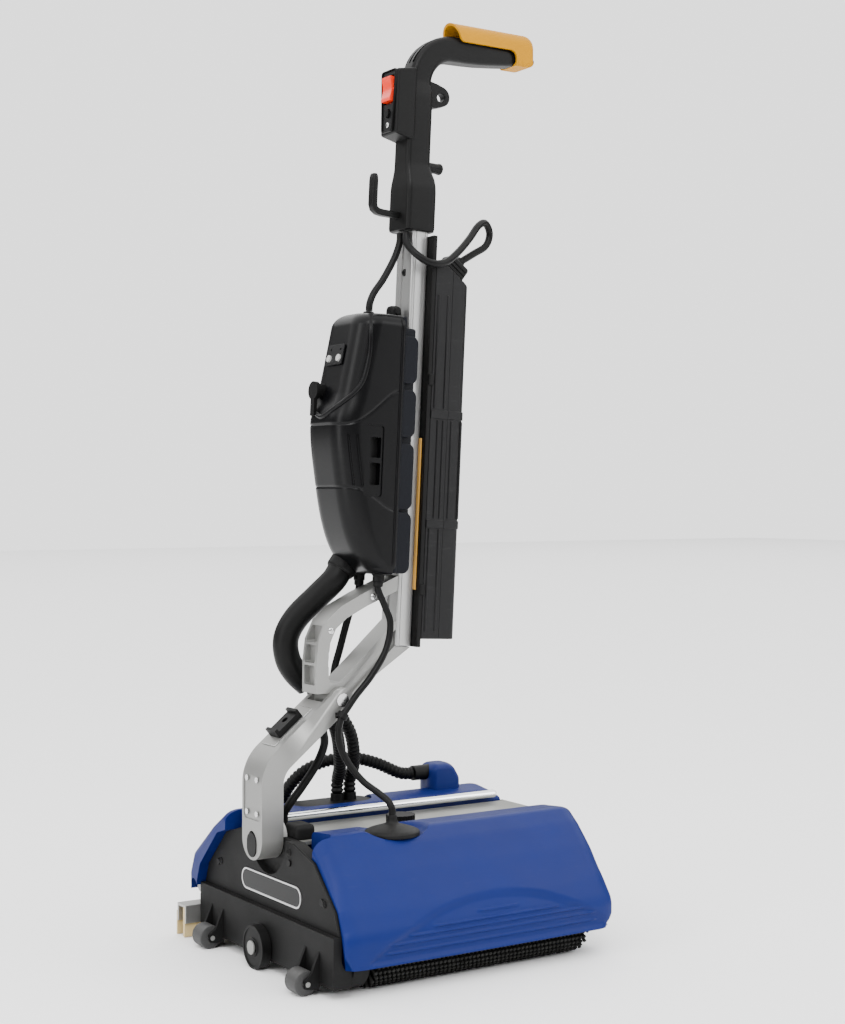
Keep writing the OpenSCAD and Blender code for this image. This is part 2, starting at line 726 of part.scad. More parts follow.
// Rear tank outline in [Y, Z], drawn in by e
function rear_side(e) = [
    [deck_half + 2 + e, 90 + e], [deck_half + 2 + e, rear_tank_top - 5 - e], [93, rear_tank_top + 0.5 - e],
    [128 - e / 2, rear_tank_top - 21 - e], [rear_reach - 12 - e, 107 - e / 2], [rear_reach - e, 79],
    [rear_reach - 1 - e, 57 + e]
];
function upright(x0, x1, y0, y1) = [[x0, y0], [x1, y0], [x1, y1], [x0, y1]];

// A block with the rear tank's section and with rounded ends at x0 and x1
module rear_body(x0, x1, e) {
    intersection() {
        profile_x(-far, far) polygon(fillet(rear_side(e), tank_round - e));
        profile_y(0, far) polygon(fillet(upright(x0 + e, x1 - e, 30, rear_tank_top + 1 - e), tank_round - e));
        linear_extrude(far) polygon(fillet(upright(x0 + e, x1 - e, 20, rear_reach + 0.5 - e), tank_round - e));
    }
}

// Raised inlet for the squeegee hose
module inlet_hump() {
    x1 = inlet_at[0] + 56;
    top = inlet_at[2] + 15;
    intersection() {
        profile_y(0, far) polygon(fillet([
            [inlet_at[0], 150], [x1, 150], [x1, top - 22], [x1 - 24, top], [inlet_at[0], top]], 10));
        profile_x(0, far) polygon(fillet(upright(inlet_at[1] - 18, inlet_at[1] + 18, 149, top + 0.5), 16));
    }
}

// Front tank outlines, drawn in by e: its side in [Y, Z], its plan in [X, Y] and its front in [X, Z]
function tank_side(e) = [
    [-deck_half - 2 - e, 96], [-deck_half - 2 - e, front_tank_top - 3 - e], [-98, front_tank_top + 1 - e],
    [-front_reach + e, 72 - e / 2], [-front_reach + 1 + e, 32 + e], [-140, 32 + e]
];
function end_curve(x) =
    let (k = max(0, abs(x) - tank_front_half + tank_corner))
    tank_corner - sqrt(tank_corner * tank_corner - k * k);
function tank_plan(e) = concat(
    [[tank_half - e, -40], [-tank_half + e, -40],
        [-tank_half + e, tank_lip + e], [-lip_half + e, tank_lip + e]],
    [for (i = [-30 : 30]) let (x = i / 30 * lip_half) [
        x * (lip_half - e) / lip_half, -front_reach + e + tank_sag * pow(i / 30, 2) + end_curve(x)]],
    [[lip_half - e, tank_lip + e], [tank_half - e, tank_lip + e]]);
function tank_front(e) = [
    [-tank_front_half + e, 0], [tank_front_half - e, 0],
    [tank_front_half - e, front_tank_top + 2 - e], [-tank_front_half + e, front_tank_top + 2 - e]
];

module tank_body(e) {
    intersection() {
        profile_x(-far, far) polygon(fillet(tank_side(e), tank_round - e));
        linear_extrude(far) polygon(tank_plan(e));
        profile_y(-far, far) polygon(fillet(tank_front(e), tank_corner - e));
    }
}

// The dished seat of the bung in the tank and the neck below it, grown by e
module bung_room(e) {
    translate([bung_at[0], bung_at[1], bung_floor - e]) {
        cylinder(r = bung_r + 3 + e, h = far);
        translate([0, 0, -13]) cylinder(r = 19 + e, h = far);
    }
}

module front_tank() {
    color([0.14, 0.25, 0.55]) at_mid() difference() {
        tank_body(0);
        difference() {
            tank_body(tank_wall);
            along_x(-far, far, tunnel_out + gap + tank_wall, -front_brush_y, brush_z);
            bung_room(tank_wall);
        }
        along_x(-far, far, tunnel_out + gap, -front_brush_y, brush_z);
        bung_room(0);
    }
}

module oval(grow) {
    for (s = [-1, 1]) translate([s * (recess_half[0] - recess_half[1]), 0, 0]) circle(recess_half[1] + grow);
    square([2 * (recess_half[0] - recess_half[1]), 2 * (recess_half[1] + grow)], center = true);
}

module rear_tank() {
    color([0.14, 0.25, 0.55]) at_mid() difference() {
        union() {
            rear_body(-rear_tank_x, rear_half, 0);
            inlet_hump();
        }
        difference() {
            rear_body(-rear_half, rear_half, tank_wall);
            along_x(-far, far, tunnel_out + gap + tank_wall, rear_brush_y, brush_z);
            translate([recess_at[0], recess_at[1], recess_floor - tank_wall])
                linear_extrude(far) oval(tank_wall);
            block(hose_x - 16, hose_x + 16, 150, far, 0, far);
        }
        along_x(-far, far, tunnel_out + gap, rear_brush_y, brush_z);
        mirror([1, 0, 0]) {
            profile_x(plate_x - plate_t - gap, far) polygon(cover_outline(gap));
            block(plate_x + 5, far, -far, 86, 0, far);
            along_x(cover_x - 71, far, bumper_r + gap, bumper_y, bumper_z);
            block(cover_x - 71, far, 0, bumper_y + bumper_r, 0, bumper_z);
        }
        translate([recess_at[0], recess_at[1], recess_floor]) linear_extrude(far) oval(0);
        along_x(inlet_at[0] - 10, inlet_at[0] + 24, hose_r + 2, inlet_at[1], inlet_at[2]);
        translate([inlet_at[0] + 15, inlet_at[1], rear_tank_top - 30])
            cylinder(r = hose_r - 1, h = inlet_at[2] - rear_tank_top + 30);
        translate([socket_x[0], recess_at[1], recess_floor - 10]) cylinder(r = hose_r - 2, h = 20);
        block(hose_x - 12, hose_x + 12, hose_y - 12, far, 0, 128);
    }
}

module recess_plate() {
    color([0.3, 0.3, 0.31]) at_mid() {
        difference() {
            union() {
                translate([recess_at[0], recess_at[1], recess_floor]) linear_extrude(2.5) oval(-gap);
                for (x = socket_x) translate([x, recess_at[1], recess_floor])
                    cylinder(r = hose_r + 0.5, h = socket_top - recess_floor);
            }
            for (x = socket_x) translate([x, recess_at[1], 0]) cylinder(r = hose_r - 2, h = far);
        }
        difference() {
            along_x(66, inlet_at[0] + 20, hose_r + 2 - gap, inlet_at[1], inlet_at[2]);
            along_x(0, far, hose_r - 2, inlet_at[1], inlet_at[2]);
        }
        translate([gland_at[0], gland_at[1], deck_z]) cylinder(r = 8, h = 6);
    }
}

module rear_bumper() {
    color("lightgray") at_mid() along_x(4 - cover_x, 70 - cover_x, bumper_r, bumper_y, bumper_z);
}

module deck_rail() {
    color("whitesmoke") at_mid() {
        along_x(rail_ends[0], rail_ends[1], rail_r, rail_y, deck_z + 11);
        for (x = rail_ends) {
            translate([x, rail_y, deck_z]) cylinder(r = rail_r, h = 11);
            translate([x, rail_y, deck_z + 11]) sphere(rail_r);
        }
    }
}

module round_bung() {
    color([0.15, 0.15, 0.15]) at_mid() translate([bung_at[0], bung_at[1], bung_floor]) {
        cylinder(r = bung_r, h = 4);
        translate([0, 0, 4]) cylinder(r1 = bung_r, r2 = 11, h = 6);
        translate([0, 0, 10]) cylinder(r1 = 8, r2 = 6, h = bung_neck - 10);
        translate([0, 0, -12]) cylinder(r = 19 - gap, h = 12);
    }
}

module roller_brackets() {
    color([0.13, 0.13, 0.13]) at_mid() mirror([1, 0, 0]) both_ends() difference() {
        for (y = [roller_y - roller_l / 2 - 4.5, roller_y + roller_l / 2 + 0.5])
            profile_y(y, y + 4) polygon([
                [cover_x, cover_bottom - 6], [roller_x + 3, roller_r - 5], [roller_x + 4, roller_r + 4],
                [roller_x - 4, roller_r + 10], [cover_x, roller_r + 34]]);
        along_y(-far, far, axle_r, roller_x, roller_r);
    }
}

module filler_cap() {
    color([0.12, 0.12, 0.12]) at_mid() translate([filler_at[0], filler_at[1], deck_z]) {
        difference() {
            translate([0, 0, gap]) cylinder(r = filler_r, h = 12);
            for (a = [0 : 15 : 345]) rotate(a) translate([filler_r + 0.6, 0, 2]) cylinder(r = 1.4, h = 12);
        }
        translate([0, 0, -10]) cylinder(r = filler_r - 5, h = 10 + gap);
    }
}

module roller(y) {
    color("gray") at_mid() difference() {
        along_y(y - roller_l / 2, y + roller_l / 2, roller_r, -roller_x, roller_r);
        along_y(-far, far, axle_r + run, -roller_x, roller_r);
    }
}

module front_roller() { roller(-roller_y); }
module rear_roller() { roller(roller_y); }

module wheel(x) {
    difference() {
        along_x(x + 1, x + 1 + wheel_t, wheel_r, 0, wheel_r);
        along_x(0, far, 5 + run, 0, wheel_r);
        difference() {
            along_x(x + wheel_t, far, wheel_r - 3, 0, wheel_r);
            along_x(0, far, 11, 0, wheel_r);
        }
    }
}

module left_wheel() { color([0.15, 0.15, 0.15]) at_mid() mirror([1, 0, 0]) wheel(cover_x); }
module right_wheel() { color([0.15, 0.15, 0.15]) at_mid() wheel(plate_x + cap_t + 4); }

module squeegee_frame() {
    ear_w = 5;
    color("lightgray") at_mid() difference() {
        union() {
            block(-squeegee_w / 2, squeegee_w / 2, squeegee_y, back_y, 18, squeegee_top);
            translate([hose_x, hose_y, squeegee_top]) cylinder(r = hose_r + 1, h = 8);
            both_sides() for (x = [lug_x - lug_half - 0.5 - ear_w, lug_x + lug_half + 0.5])
                block(x, x + ear_w, hinge_y - 4.5, hinge_y + 4.5, squeegee_top, hinge_z + 4);
        }
        block(-far, far, squeegee_y + squeegee_wall, back_y - squeegee_wall, 0, squeegee_top - squeegee_wall);
        translate([hose_x, hose_y, 0]) cylinder(r = hose_r - 2, h = far);
        both_sides() along_x(lug_x - 20, far, axle_r + run, hinge_y, hinge_z);
    }
}

module squeegee_blades() {
    color("wheat") at_mid() {
        block(-squeegee_w / 2, squeegee_w / 2, back_y, back_y + blade_t, 0.4, 30);
        block(-squeegee_w / 2, squeegee_w / 2, squeegee_y + squeegee_wall,
            squeegee_y + squeegee_wall + 2 * blade_t, 1, squeegee_top - squeegee_wall);
    }
}

// Arm pieces
module arm() {
    color("silver") at_mid() difference() {
        intersection() {
            profile_y(-arm_d / 2, arm_d / 2) {
                polygon(band(arm_path(), arm_t));
                translate([fold_x, fold_z]) circle(fold_boss);
            }
            profile_x(-far, far) {
                translate([0, tilt_z]) circle(arm_d / 2);
                translate([-arm_d / 2, tilt_z]) square([arm_d, far]);
            }
        }
        translate([fold_x, 0, fold_z]) rotate([0, arm_turn - 90, 0])
            block(-fold_boss - 4, 60, -slot_half, slot_half, -60, 60);
        along_x(-far, 0, tilt_pin_r + run, 0, tilt_z);
        along_y(-far, far, fold_pin_r, fold_x, fold_z);
        translate([arm_x - arm_t / 2, 0, 0]) {
            along_x(-1, 3, cap_r + gap, 0, cap_z);
            along_x(-1, 3, cap_r + gap, 0, cap_z + cap_rise);
            block(-1, 3, -cap_r - gap, cap_r + gap, cap_z, cap_z + cap_rise);
        }
    }
}

module arm_fasteners() {
    color("lightgray") {
        at_mid() {
            along_y(-arm_d / 2 - 3, arm_d / 2 + 3, fold_pin_r, fold_x, fold_z);
            both_ends() along_y(arm_d / 2, arm_d / 2 + 3, fold_pin_r + 3, fold_x, fold_z);
            both_ends() for (z = [tilt_z + 30, tilt_z + 69])
                along_x(arm_x - arm_t / 2 - 1.2, arm_x - arm_t / 2, 3.5, 12, z);
        }
        on_arm() block(-34, 30, -15, 15, arm_t / 2, arm_t / 2 + 1.5);
    }
}

// Frame on the arm's slope: x runs up along it, z stands off its upper face
module on_arm() {
    at_mid() translate([fold_x - arm_dir[0] * latch_at, 0, fold_z - arm_dir[1] * latch_at])
        rotate([0, arm_turn - 90, 0]) children();
}

module arm_trim() {
    color([0.13, 0.13, 0.13]) at_mid() {
        translate([arm_x - arm_t / 2, 0, 0]) {
            along_x(-1, 3, cap_r, 0, cap_z);
            along_x(-1, 3, cap_r, 0, cap_z + cap_rise);
            block(-1, 3, -cap_r, cap_r, cap_z, cap_z + cap_rise);
        }
        difference() {
            union() {
                clip_drum(hose_clip, hose_clip_turn, hose_r + 3, 8);
                block(-104, -90, arm_d / 2, 40, 288, 296.5);
                clip_drum(tube_clip, tube_clip_turn, water_tube_r + 2.5, 7);
                block(-117, -107, -29, -arm_d / 2, 285, 291);
            }
            clip_drum(hose_clip, hose_clip_turn, hose_r + 2 * gap, 30);
            clip_drum(tube_clip, tube_clip_turn, water_tube_r + 2 * gap, 30);
        }
    }
}

// The ring of a hose clip, or the bore through it
module clip_drum(at, turn, r, h) { translate(at) rotate([0, turn, 0]) cylinder(r = r, h = h, center = true); }

module latch_slider() {
    base = arm_t / 2 + 1.5 + gap;
    color([0.1, 0.1, 0.1]) on_arm() difference() {
        union() {
            block(-22, 16, -12, 12, base, base + 7);
            for (x = [-22, 12]) block(x, x + 4, -12, 12, base + 7, base + 11);
        }
        translate([0, 0, base + 3]) cylinder(r = 4, h = 20);
    }
}

// Handle pieces
ring_path = [
    [-130, 313], [-130, 350], [-127, 374], [-118, 393], [-101, 407], [-72, 421], [-20, 442]
];
limb_path = [[fold_x, fold_z], [-12, 390]];
pole_shoe = [[-83, 314], [-8.5, 362], [-30, 364], [-62, 350]];

module handle_frame() {
    color("silver") difference() {
        union() {
            at_mid() {
                profile_y(-frame_half, frame_half) {
                    polygon(band(ring_path, ring_w));
                    polygon(band(limb_path, limb_w));
                    translate([fold_x, fold_z]) circle(fold_boss - 1);
                    polygon([[-136, 313], [-122, 313], [fold_x, fold_z + 8], [-100, fold_z + 34], [-122, 344]]);
                    polygon(pole_shoe);
                }
                along_y(frame_half - 4, frame_half + 2, frame_cable_r + 2, frame_gland[0], frame_gland[1]);
            }
        }
        on_pole() block(-side_x, far, -far, far, pole_foot, far);
        on_pole() block(side_x, far, -far, far, -far, far);
        at_mid() along_y(-far, far, fold_pin_r + run, fold_x, fold_z);
        at_mid() both_ends() profile_y(frame_half - 5, far) polygon(band(limb_path, limb_w - 14));
    }
}

module pole() {
    color("silver") on_pole() difference() {
        block(-side_x, side_x, -pole_d / 2, pole_d / 2, pole_foot, pole_top);
        block(-side_x + pole_wall, side_x - pole_wall, -pole_d / 2 + pole_wall, pole_d / 2 - pole_wall,
            -far, 2 * far);
    }
}

module handle_column() {
    neck_in = bend_x - column_mid;
    color([0.13, 0.13, 0.13]) difference() {
        union() {
            on_pole() {
                block(-23, 12, -18, 18, column_foot, bend_foot);
                block(-23, 18, -21, 21, column_foot, column_foot + 70);
                block(housing_x, 6, -18, 18, switch_z - 42, switch_z + 36);
                translate([12, 0, peg_z]) rotate([0, 90, 0]) cylinder(r = peg_r, h = peg_l);
                block(hook_x, -23, -hook_half, hook_half, hook_z, hook_z + 8);
                block(hook_x, hook_x + 8, -hook_half, hook_half, hook_z, hook_z + 50);
            }
            at_mid() {
                translate([bend_x, 0, bend_centre_z]) rotate([90, 0, 0]) rotate([0, 0, 90])
                    rotate_extrude(angle = 90, $fn = 96)
                        translate([neck_in - 15, -neck_half]) square([30, 2 * neck_half]);
                profile_y(-neck_half, neck_half) polygon([
                    [bend_x, neck_z - 15], [100, neck_z - 14], [150, neck_z - 8], [lever_x1 - 6, neck_z - 5],
                    [lever_x1 - 6, neck_z + 12], [bend_x, neck_z + 15]]);
                along_y(-5, 5, eye_r + 8.5, eye_x, eye_z);
                block(10, eye_x, -5, 5, eye_z - 12, eye_z + 12);
            }
        }
        on_pole() {
            block(-side_x - gap, side_x + gap, -pole_d / 2 - gap, pole_d / 2 + gap, 0, pole_top + gap);
            block(housing_x - 1, housing_x + 12, -11, 11, rocker_z - 17, rocker_z + 17);
            along_y(-13, 13, rocker_pin_r + run, housing_x, rocker_z);
            translate([housing_x - 1, 0, button_z]) rotate([0, 90, 0]) cylinder(r = 5.5, h = 14);
        }
        at_mid() {
            along_y(-far, far, eye_r, eye_x, eye_z);
            along_y(-far, far, lever_pin_r + run, lever_pin_x, lever_pin_z);
        }
    }
}

module switch_panel() {
    color([0.1, 0.1, 0.1]) on_pole() difference() {
        block(housing_x - 2, housing_x, -16, 16, switch_z - 40, switch_z + 42);
        block(-far, 0, -11, 11, rocker_z - 17, rocker_z + 17);
        block(-far, 0, -13, 13, rocker_z - 2, rocker_z + 2);
        translate([-far, 0, button_z]) rotate([0, 90, 0]) cylinder(r = 5.5, h = far);
    }
}

module power_rocker() {
    color("tomato") on_pole() translate([housing_x, 0, rocker_z]) difference() {
        union() {
            block(-6, 6, -10, 10, -15, 15);
            along_y(-12.5, 12.5, rocker_pin_r, 0, 0);
        }
        along_y(-far, far, 30, -34, 0);
    }
}

module reset_button() {
    color("dimgray") on_pole() translate([housing_x - 4, 0, button_z])
        rotate([0, 90, 0]) cylinder(r = 5, h = 12);
}

module grip_lever() {
    color([0.88, 0.69, 0.25]) at_mid() {
        difference() {
            union() {
                along_x(lever_x0, lever_x1, lever_r, 0, lever_top - lever_r);
                block(cheek_x, lever_x1, -lever_r, lever_r, lever_pin_z - 10, lever_top - lever_r);
            }
            along_x(0, lever_x1 - lever_wall, lever_r - lever_wall, 0, lever_top - lever_r);
            block(0, lever_x1 - lever_wall, -lever_r + lever_wall, lever_r - lever_wall,
                0, lever_top - lever_r);
            block(0, cheek_x, -far, far, 0, lever_top - lever_r - 6);
        }
        along_y(-lever_r + lever_wall, lever_r - lever_wall, lever_pin_r, lever_pin_x, lever_pin_z);
    }
}

// Vacuum box
module box_skin(inset) {
    r = box_round - inset;
    hull() {
        for (p = box_face, s = [-1, 1])
            translate([min(p[0] + box_round, box_seam - 2), s * (box_half - box_round),
                min(max(p[1], box_foot + box_round), box_top - box_round)]) sphere(r, $fn = 24);
        translate([box_seam - 1, -box_half + inset + 4, box_foot + inset + 4])
            cube([1, 2 * (box_half - inset - 4), box_top - box_foot - 2 * inset - 8]);
    }
}

module box_cover() {
    color([0.08, 0.08, 0.085]) {
        difference() {
            union() {
                on_pole() intersection() {
                    box_skin(0);
                    block(-far, box_seam, -far, far, -far, far);
                }
                on_pole() {
                    both_ends() translate([box_stub[0], box_stub[1], box_foot - 9]) cylinder(r = 7, h = 10.5);
                    translate([-58, 0, box_top - 2]) cylinder(r1 = 8, r2 = 6, h = 7);
                    translate([-114.6, latch_y, latch_z]) rotate([0, 90, 0]) cylinder(r = 9, h = 14);
                }
                at_mid() translate(elbow_path[0]) rotate([0, elbow_turn, 0])
                    translate([0, 0, -cuff_l]) cylinder(r = elbow_r + 2.5, h = cuff_l - gap);
            }
            on_pole() intersection() {
                box_skin(box_wall);
                block(-far, box_seam + 1, -far, far, -far, far);
            }
            on_panel() block(-20, -1, -22, 22, -20, 20);
            for (y = [-panel_button_y, panel_button_y])
                on_panel() translate([-20, y, -4]) rotate([0, 90, 0]) cylinder(r = 4.6, h = 30);
            on_pole() translate([-130, latch_y, latch_z]) rotate([0, 90, 0]) cylinder(r = 4 + run, h = 40);
        }
    }
}

module box_back() {
    lobe = (box_top - box_foot - 16) / 4;
    color([0.1, 0.1, 0.12]) on_pole() {
        difference() {
            union() {
                block(box_seam, box_seam + 4, -box_half, box_half, box_foot + 2, box_top - 2);
                for (i = [0 : 3]) block(box_seam + 4, -side_x, -box_half + 4, box_half - 4,
                    box_foot + 8 + i * lobe + 1.5, box_foot + 8 + (i + 1) * lobe - 1.5);
                block(box_seam + 4, -side_x, -box_half + 8, box_half - 8, box_foot + 8, box_top - 8);
            }
            for (i = [0 : 3]) block(box_seam + 8, -side_x - 4, -box_half + 8, box_half - 8,
                box_foot + 8 + i * lobe + 5, box_foot + 8 + (i + 1) * lobe - 5);
        }
        translate([knob_x, 0, box_top - 8]) cylinder(r = 3, h = 14);
    }
}

module control_panel() {
    color([0.2, 0.2, 0.2]) on_panel() difference() {
        block(-3, -1, -21.5, 21.5, -19.5, 19.5);
        for (y = [-panel_button_y, panel_button_y])
            translate([-20, y, -4]) rotate([0, 90, 0]) cylinder(r = 4.6, h = 30);
    }
}

module panel_button(y) {
    color("lightgray") on_panel() translate([-5, y, -4]) rotate([0, 90, 0]) cylinder(r = 4.2, h = 8);
}

module panel_button_front() { panel_button(-panel_button_y); }
module panel_button_rear() { panel_button(panel_button_y); }

module box_latch() {
    color([0.1, 0.1, 0.1]) on_pole() translate([-114, latch_y, latch_z]) {
        translate([-6, 0, 0]) rotate([0, 90, 0]) cylinder(r = 11, h = 5);
        translate([-2, 0, 0]) rotate([0, 90, 0]) cylinder(r = 4, h = 14);
        block(-6, -2, -4.5, 4.5, -30, 0);
    }
}

module clamp_knob() {
    color([0.1, 0.1, 0.1]) on_pole() translate([knob_x, 0, box_top - 8 + gap]) difference() {
        cylinder(r = 9, h = 17);
        translate([0, 0, -1]) cylinder(r = 3 + run, h = 15);
        for (a = [0 : 45 : 315]) rotate(a) translate([10, 0, 3]) cylinder(r = 2.5, h = 20);
    }
}

module suction_motor() {
    color("gray") on_pole() difference() {
        union() {
            translate([suction_x, 0, fan_z + fan_room]) cylinder(r = suction_r, h = suction_l);
            block(suction_x, box_seam, -20, 20, fan_z + 40, fan_z + 90);
        }
        translate([suction_x, 0, 0]) cylinder(r = 4 + run, h = fan_z + 60);
    }
}

module suction_fan() {
    color("lightgray") on_pole() translate([suction_x, 0, fan_z]) {
        cylinder(r = 12, h = 22);
        translate([0, 0, 22]) cylinder(r = 4, h = 30);
        for (a = [0 : 45 : 315]) rotate(a) block(8, suction_r, -1, 1, 2, 18);
        cylinder(r = suction_r, h = 2);
    }
}

// Battery
module battery_outline(grow) {
    r = 9;
    offset_x = battery_x + battery_t;
    polygon(concat(
        [[battery_x + 0.3, -battery_half - grow], [offset_x - r, -battery_half - grow]],
        [for (a = [-75 : 15 : -15])
            [offset_x - r + (r + grow) * cos(a), -battery_half + r + (r + grow) * sin(a)]],
        [for (a = [15 : 15 : 75])
            [offset_x - r + (r + grow) * cos(a), battery_half - r + (r + grow) * sin(a)]],
        [[offset_x - r, battery_half + grow], [battery_x + 0.3, battery_half + grow]]));
}

module battery_case(x0, x1) {
    slope = atan2(shoulder_drop, shoulder);
    difference() {
        union() {
            translate([0, 0, battery_foot]) linear_extrude(battery_l) battery_outline(0);
            for (z = band_z) translate([0, 0, z - band_h / 2])
                linear_extrude(band_h) battery_outline(band_proud);
        }
        translate([0, 0, battery_foot + battery_wall])
            linear_extrude(battery_l - shoulder_drop - 2 * battery_wall)
            battery_outline(-battery_wall);
        translate([battery_x + battery_t - shoulder, 0, battery_top]) rotate([0, slope, 0])
            block(0, far, -far, far, 0, far);
        block(-far, x0, -far, far, -far, 2 * far);
        block(x1, 2 * far, -far, far, -far, 2 * far);
    }
}

module battery_inner_shell() { color([0.2, 0.2, 0.2]) on_pole() battery_case(battery_x, battery_seam); }
module battery_outer_shell() { color([0.22, 0.22, 0.22]) on_pole() battery_case(battery_seam, far); }

module battery_cells() {
    color("steelblue") on_pole()
        for (i = [0 : cell_count - 1], y = [-17.5, 0, 17.5], x = [14.5, 35])
            translate([battery_x + x, y, battery_foot + battery_wall + i * cell_l])
                cylinder(r = 8.6, h = cell_l);
}

module battery_plate() {
    color([0.1, 0.1, 0.1]) on_pole() {
        block(side_x, side_x + battery_plate_t, -battery_half, battery_half,
            pole_foot, pole_foot + battery_plate_l);
        for (y = [-pole_d / 2 - 5, pole_d / 2 + 1]) block(side_x - 2, side_x, y, y + 4, strip_z[0], strip_z[1]);
    }
}

module battery_plug() {
    slope = atan2(shoulder_drop, shoulder);
    color([0.1, 0.1, 0.1]) on_pole()
        translate([battery_x + battery_t - shoulder, 0, battery_top]) rotate([0, slope, 0]) {
            block(12, 36, -9, 9, gap, 22);
            translate([24, 0, 22]) rotate([0, 20, 0]) cylinder(r1 = 8, r2 = 6, h = 12);
        }
}

// Cables and hoses
module suction_elbow() { color([0.1, 0.1, 0.1]) at_mid() tube(elbow_path, elbow_r, 12); }

module handle_cables() {
    color([0.12, 0.12, 0.12]) at_mid() {
        tube(box_cable_path, box_cable_r);
        tube(battery_cable_path, battery_cable_r);
        tube(frame_cable_path, frame_cable_r, side_dir = [1, 0, 0]);
    }
}

module upper_hoses() {
    color([0.12, 0.12, 0.12]) at_mid() {
        tube(upper_water_path, water_tube_r, side_dir = [0, 1, 0]);
        ribbed_hose(upper_vacuum_path, hose_r, [0, 1, 0]);
    }
}

module lower_hoses() {
    color([0.12, 0.12, 0.12]) at_mid() {
        tube(lower_water_path, water_tube_r, side_dir = [1, 1, 0]);
        tube(motor_cable_path, motor_cable_r);
        ribbed_hose(lower_vacuum_path, hose_r, [1, -1, 0]);
        ribbed_hose(conduit_path, hose_r, [1, -1, 0]);
    }
}

module squeegee_hose() {
    color([0.12, 0.12, 0.12]) at_mid() ribbed_hose(squeegee_hose_path, hose_r, [0.3, -1, 0.3]);
}

chassis();
brush_tunnel();
left_cover();
right_cover();
axle_pins();
bushes();
brush_motor();
drive_belt();
front_tank();
rear_tank();
recess_plate();
rear_bumper();
deck_rail();
round_bung();
roller_brackets();
filler_cap();
front_brush_core();
front_bristles();
rear_brush_core();
rear_bristles();
motor_pulley();
idler_pulley();
front_roller();
rear_roller();
left_wheel();
right_wheel();
squeegee_frame();
squeegee_blades();
arm();
arm_fasteners();
arm_trim();
latch_slider();
handle_frame();
pole();
handle_column();
switch_panel();
power_rocker();
reset_button();
grip_lever();
box_cover();
box_back();
control_panel();
panel_button_front();
panel_button_rear();
box_latch();
clamp_knob();
suction_motor();
suction_fan();
battery_plate();
battery_inner_shell();
battery_outer_shell();
battery_cells();
battery_plug();
suction_elbow();
handle_cables();
upper_hoses();
lower_hoses();
squeegee_hose();
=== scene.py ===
import json
import math
import bpy
from mathutils import Matrix, Vector


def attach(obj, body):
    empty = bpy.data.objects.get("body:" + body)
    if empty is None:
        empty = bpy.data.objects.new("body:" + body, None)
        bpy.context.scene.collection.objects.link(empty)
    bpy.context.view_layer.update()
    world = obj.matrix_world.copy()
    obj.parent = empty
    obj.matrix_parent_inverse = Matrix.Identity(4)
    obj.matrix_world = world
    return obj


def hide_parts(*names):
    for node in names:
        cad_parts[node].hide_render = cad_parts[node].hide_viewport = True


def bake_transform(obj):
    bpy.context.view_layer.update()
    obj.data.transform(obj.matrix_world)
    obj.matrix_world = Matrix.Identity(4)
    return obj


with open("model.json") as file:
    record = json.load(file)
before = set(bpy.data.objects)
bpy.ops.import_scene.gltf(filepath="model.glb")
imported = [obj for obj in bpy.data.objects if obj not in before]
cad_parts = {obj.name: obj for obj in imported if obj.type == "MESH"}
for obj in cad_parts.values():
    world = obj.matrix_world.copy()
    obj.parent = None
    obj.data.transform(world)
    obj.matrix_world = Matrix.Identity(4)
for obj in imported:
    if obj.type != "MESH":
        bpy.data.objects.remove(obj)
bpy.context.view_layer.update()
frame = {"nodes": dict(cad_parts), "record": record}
nodes = frame["nodes"]
print("loaded", len(nodes), "solids")


def mm(*numbers):
    return Vector([n / 1000 for n in numbers])


def at(x, y, z, turn=0, axis="Y"):  # a place in millimetres, turned about one axis
    return Matrix.Translation(mm(x, y, z)) @ Matrix.Rotation(math.radians(turn), 4, axis)


# the pieces' dictionaries are in millimetres, like the drawing; each place turns them into the shared frame
poleFoot = (-16, 0, 418)
poleLean = 2.9
headPlace = at(4.75, -7.75, 0)
polePlace = headPlace @ at(*poleFoot, poleLean)
here = Matrix.Identity(4)


# modelling steps that many pieces use
def restMode():
    if bpy.context.mode != "OBJECT":
        bpy.ops.object.mode_set(mode="OBJECT")
    bpy.ops.object.select_all(action="DESELECT")


def onlyThis(piece):
    restMode()
    piece.select_set(True)
    bpy.context.view_layer.objects.active = piece


def bakePlace(piece, name):
    piece.name = name
    bpy.ops.object.transform_apply(location=True, rotation=True, scale=True)
    return piece


def enterEdit():
    bpy.ops.object.mode_set(mode="EDIT")
    bpy.ops.mesh.select_mode(type="VERT")
    bpy.ops.mesh.select_all(action="SELECT")


def weld(distance=1e-6):
    bpy.ops.mesh.select_all(action="SELECT")
    bpy.ops.mesh.remove_doubles(threshold=distance)
    bpy.ops.mesh.select_all(action="SELECT")


def leaveEdit():  # with every side facing outward
    bpy.ops.mesh.select_all(action="SELECT")
    bpy.ops.mesh.normals_make_consistent(inside=False)
    bpy.ops.object.mode_set(mode="OBJECT")


def addBlock(name, low, high):
    restMode()
    middle = [(a + b) / 2000 for a, b in zip(low, high)]
    size = [(b - a) / 1000 for a, b in zip(low, high)]
    bpy.ops.mesh.primitive_cube_add(size=1, location=middle, scale=size)
    return bakePlace(bpy.context.object, name)


def addRod(name, start, stop, radius, sides=48):
    restMode()
    run = mm(*stop) - mm(*start)
    turn = run.to_track_quat("Z", "Y").to_euler()
    middle = (mm(*start) + mm(*stop)) / 2
    bpy.ops.mesh.primitive_cone_add(vertices=sides, radius1=radius / 1000, radius2=radius / 1000,
        depth=run.length, location=middle, rotation=turn)
    return bakePlace(bpy.context.object, name)


def addLoop(name, spots, fill):  # a circle whose points are moved to the spots
    restMode()
    bpy.ops.mesh.primitive_circle_add(vertices=len(spots), radius=0.1, fill_type=fill)
    piece = bpy.context.object
    piece.name = name
    for vertex, spot in zip(piece.data.vertices, spots):
        vertex.co = spot
    return piece


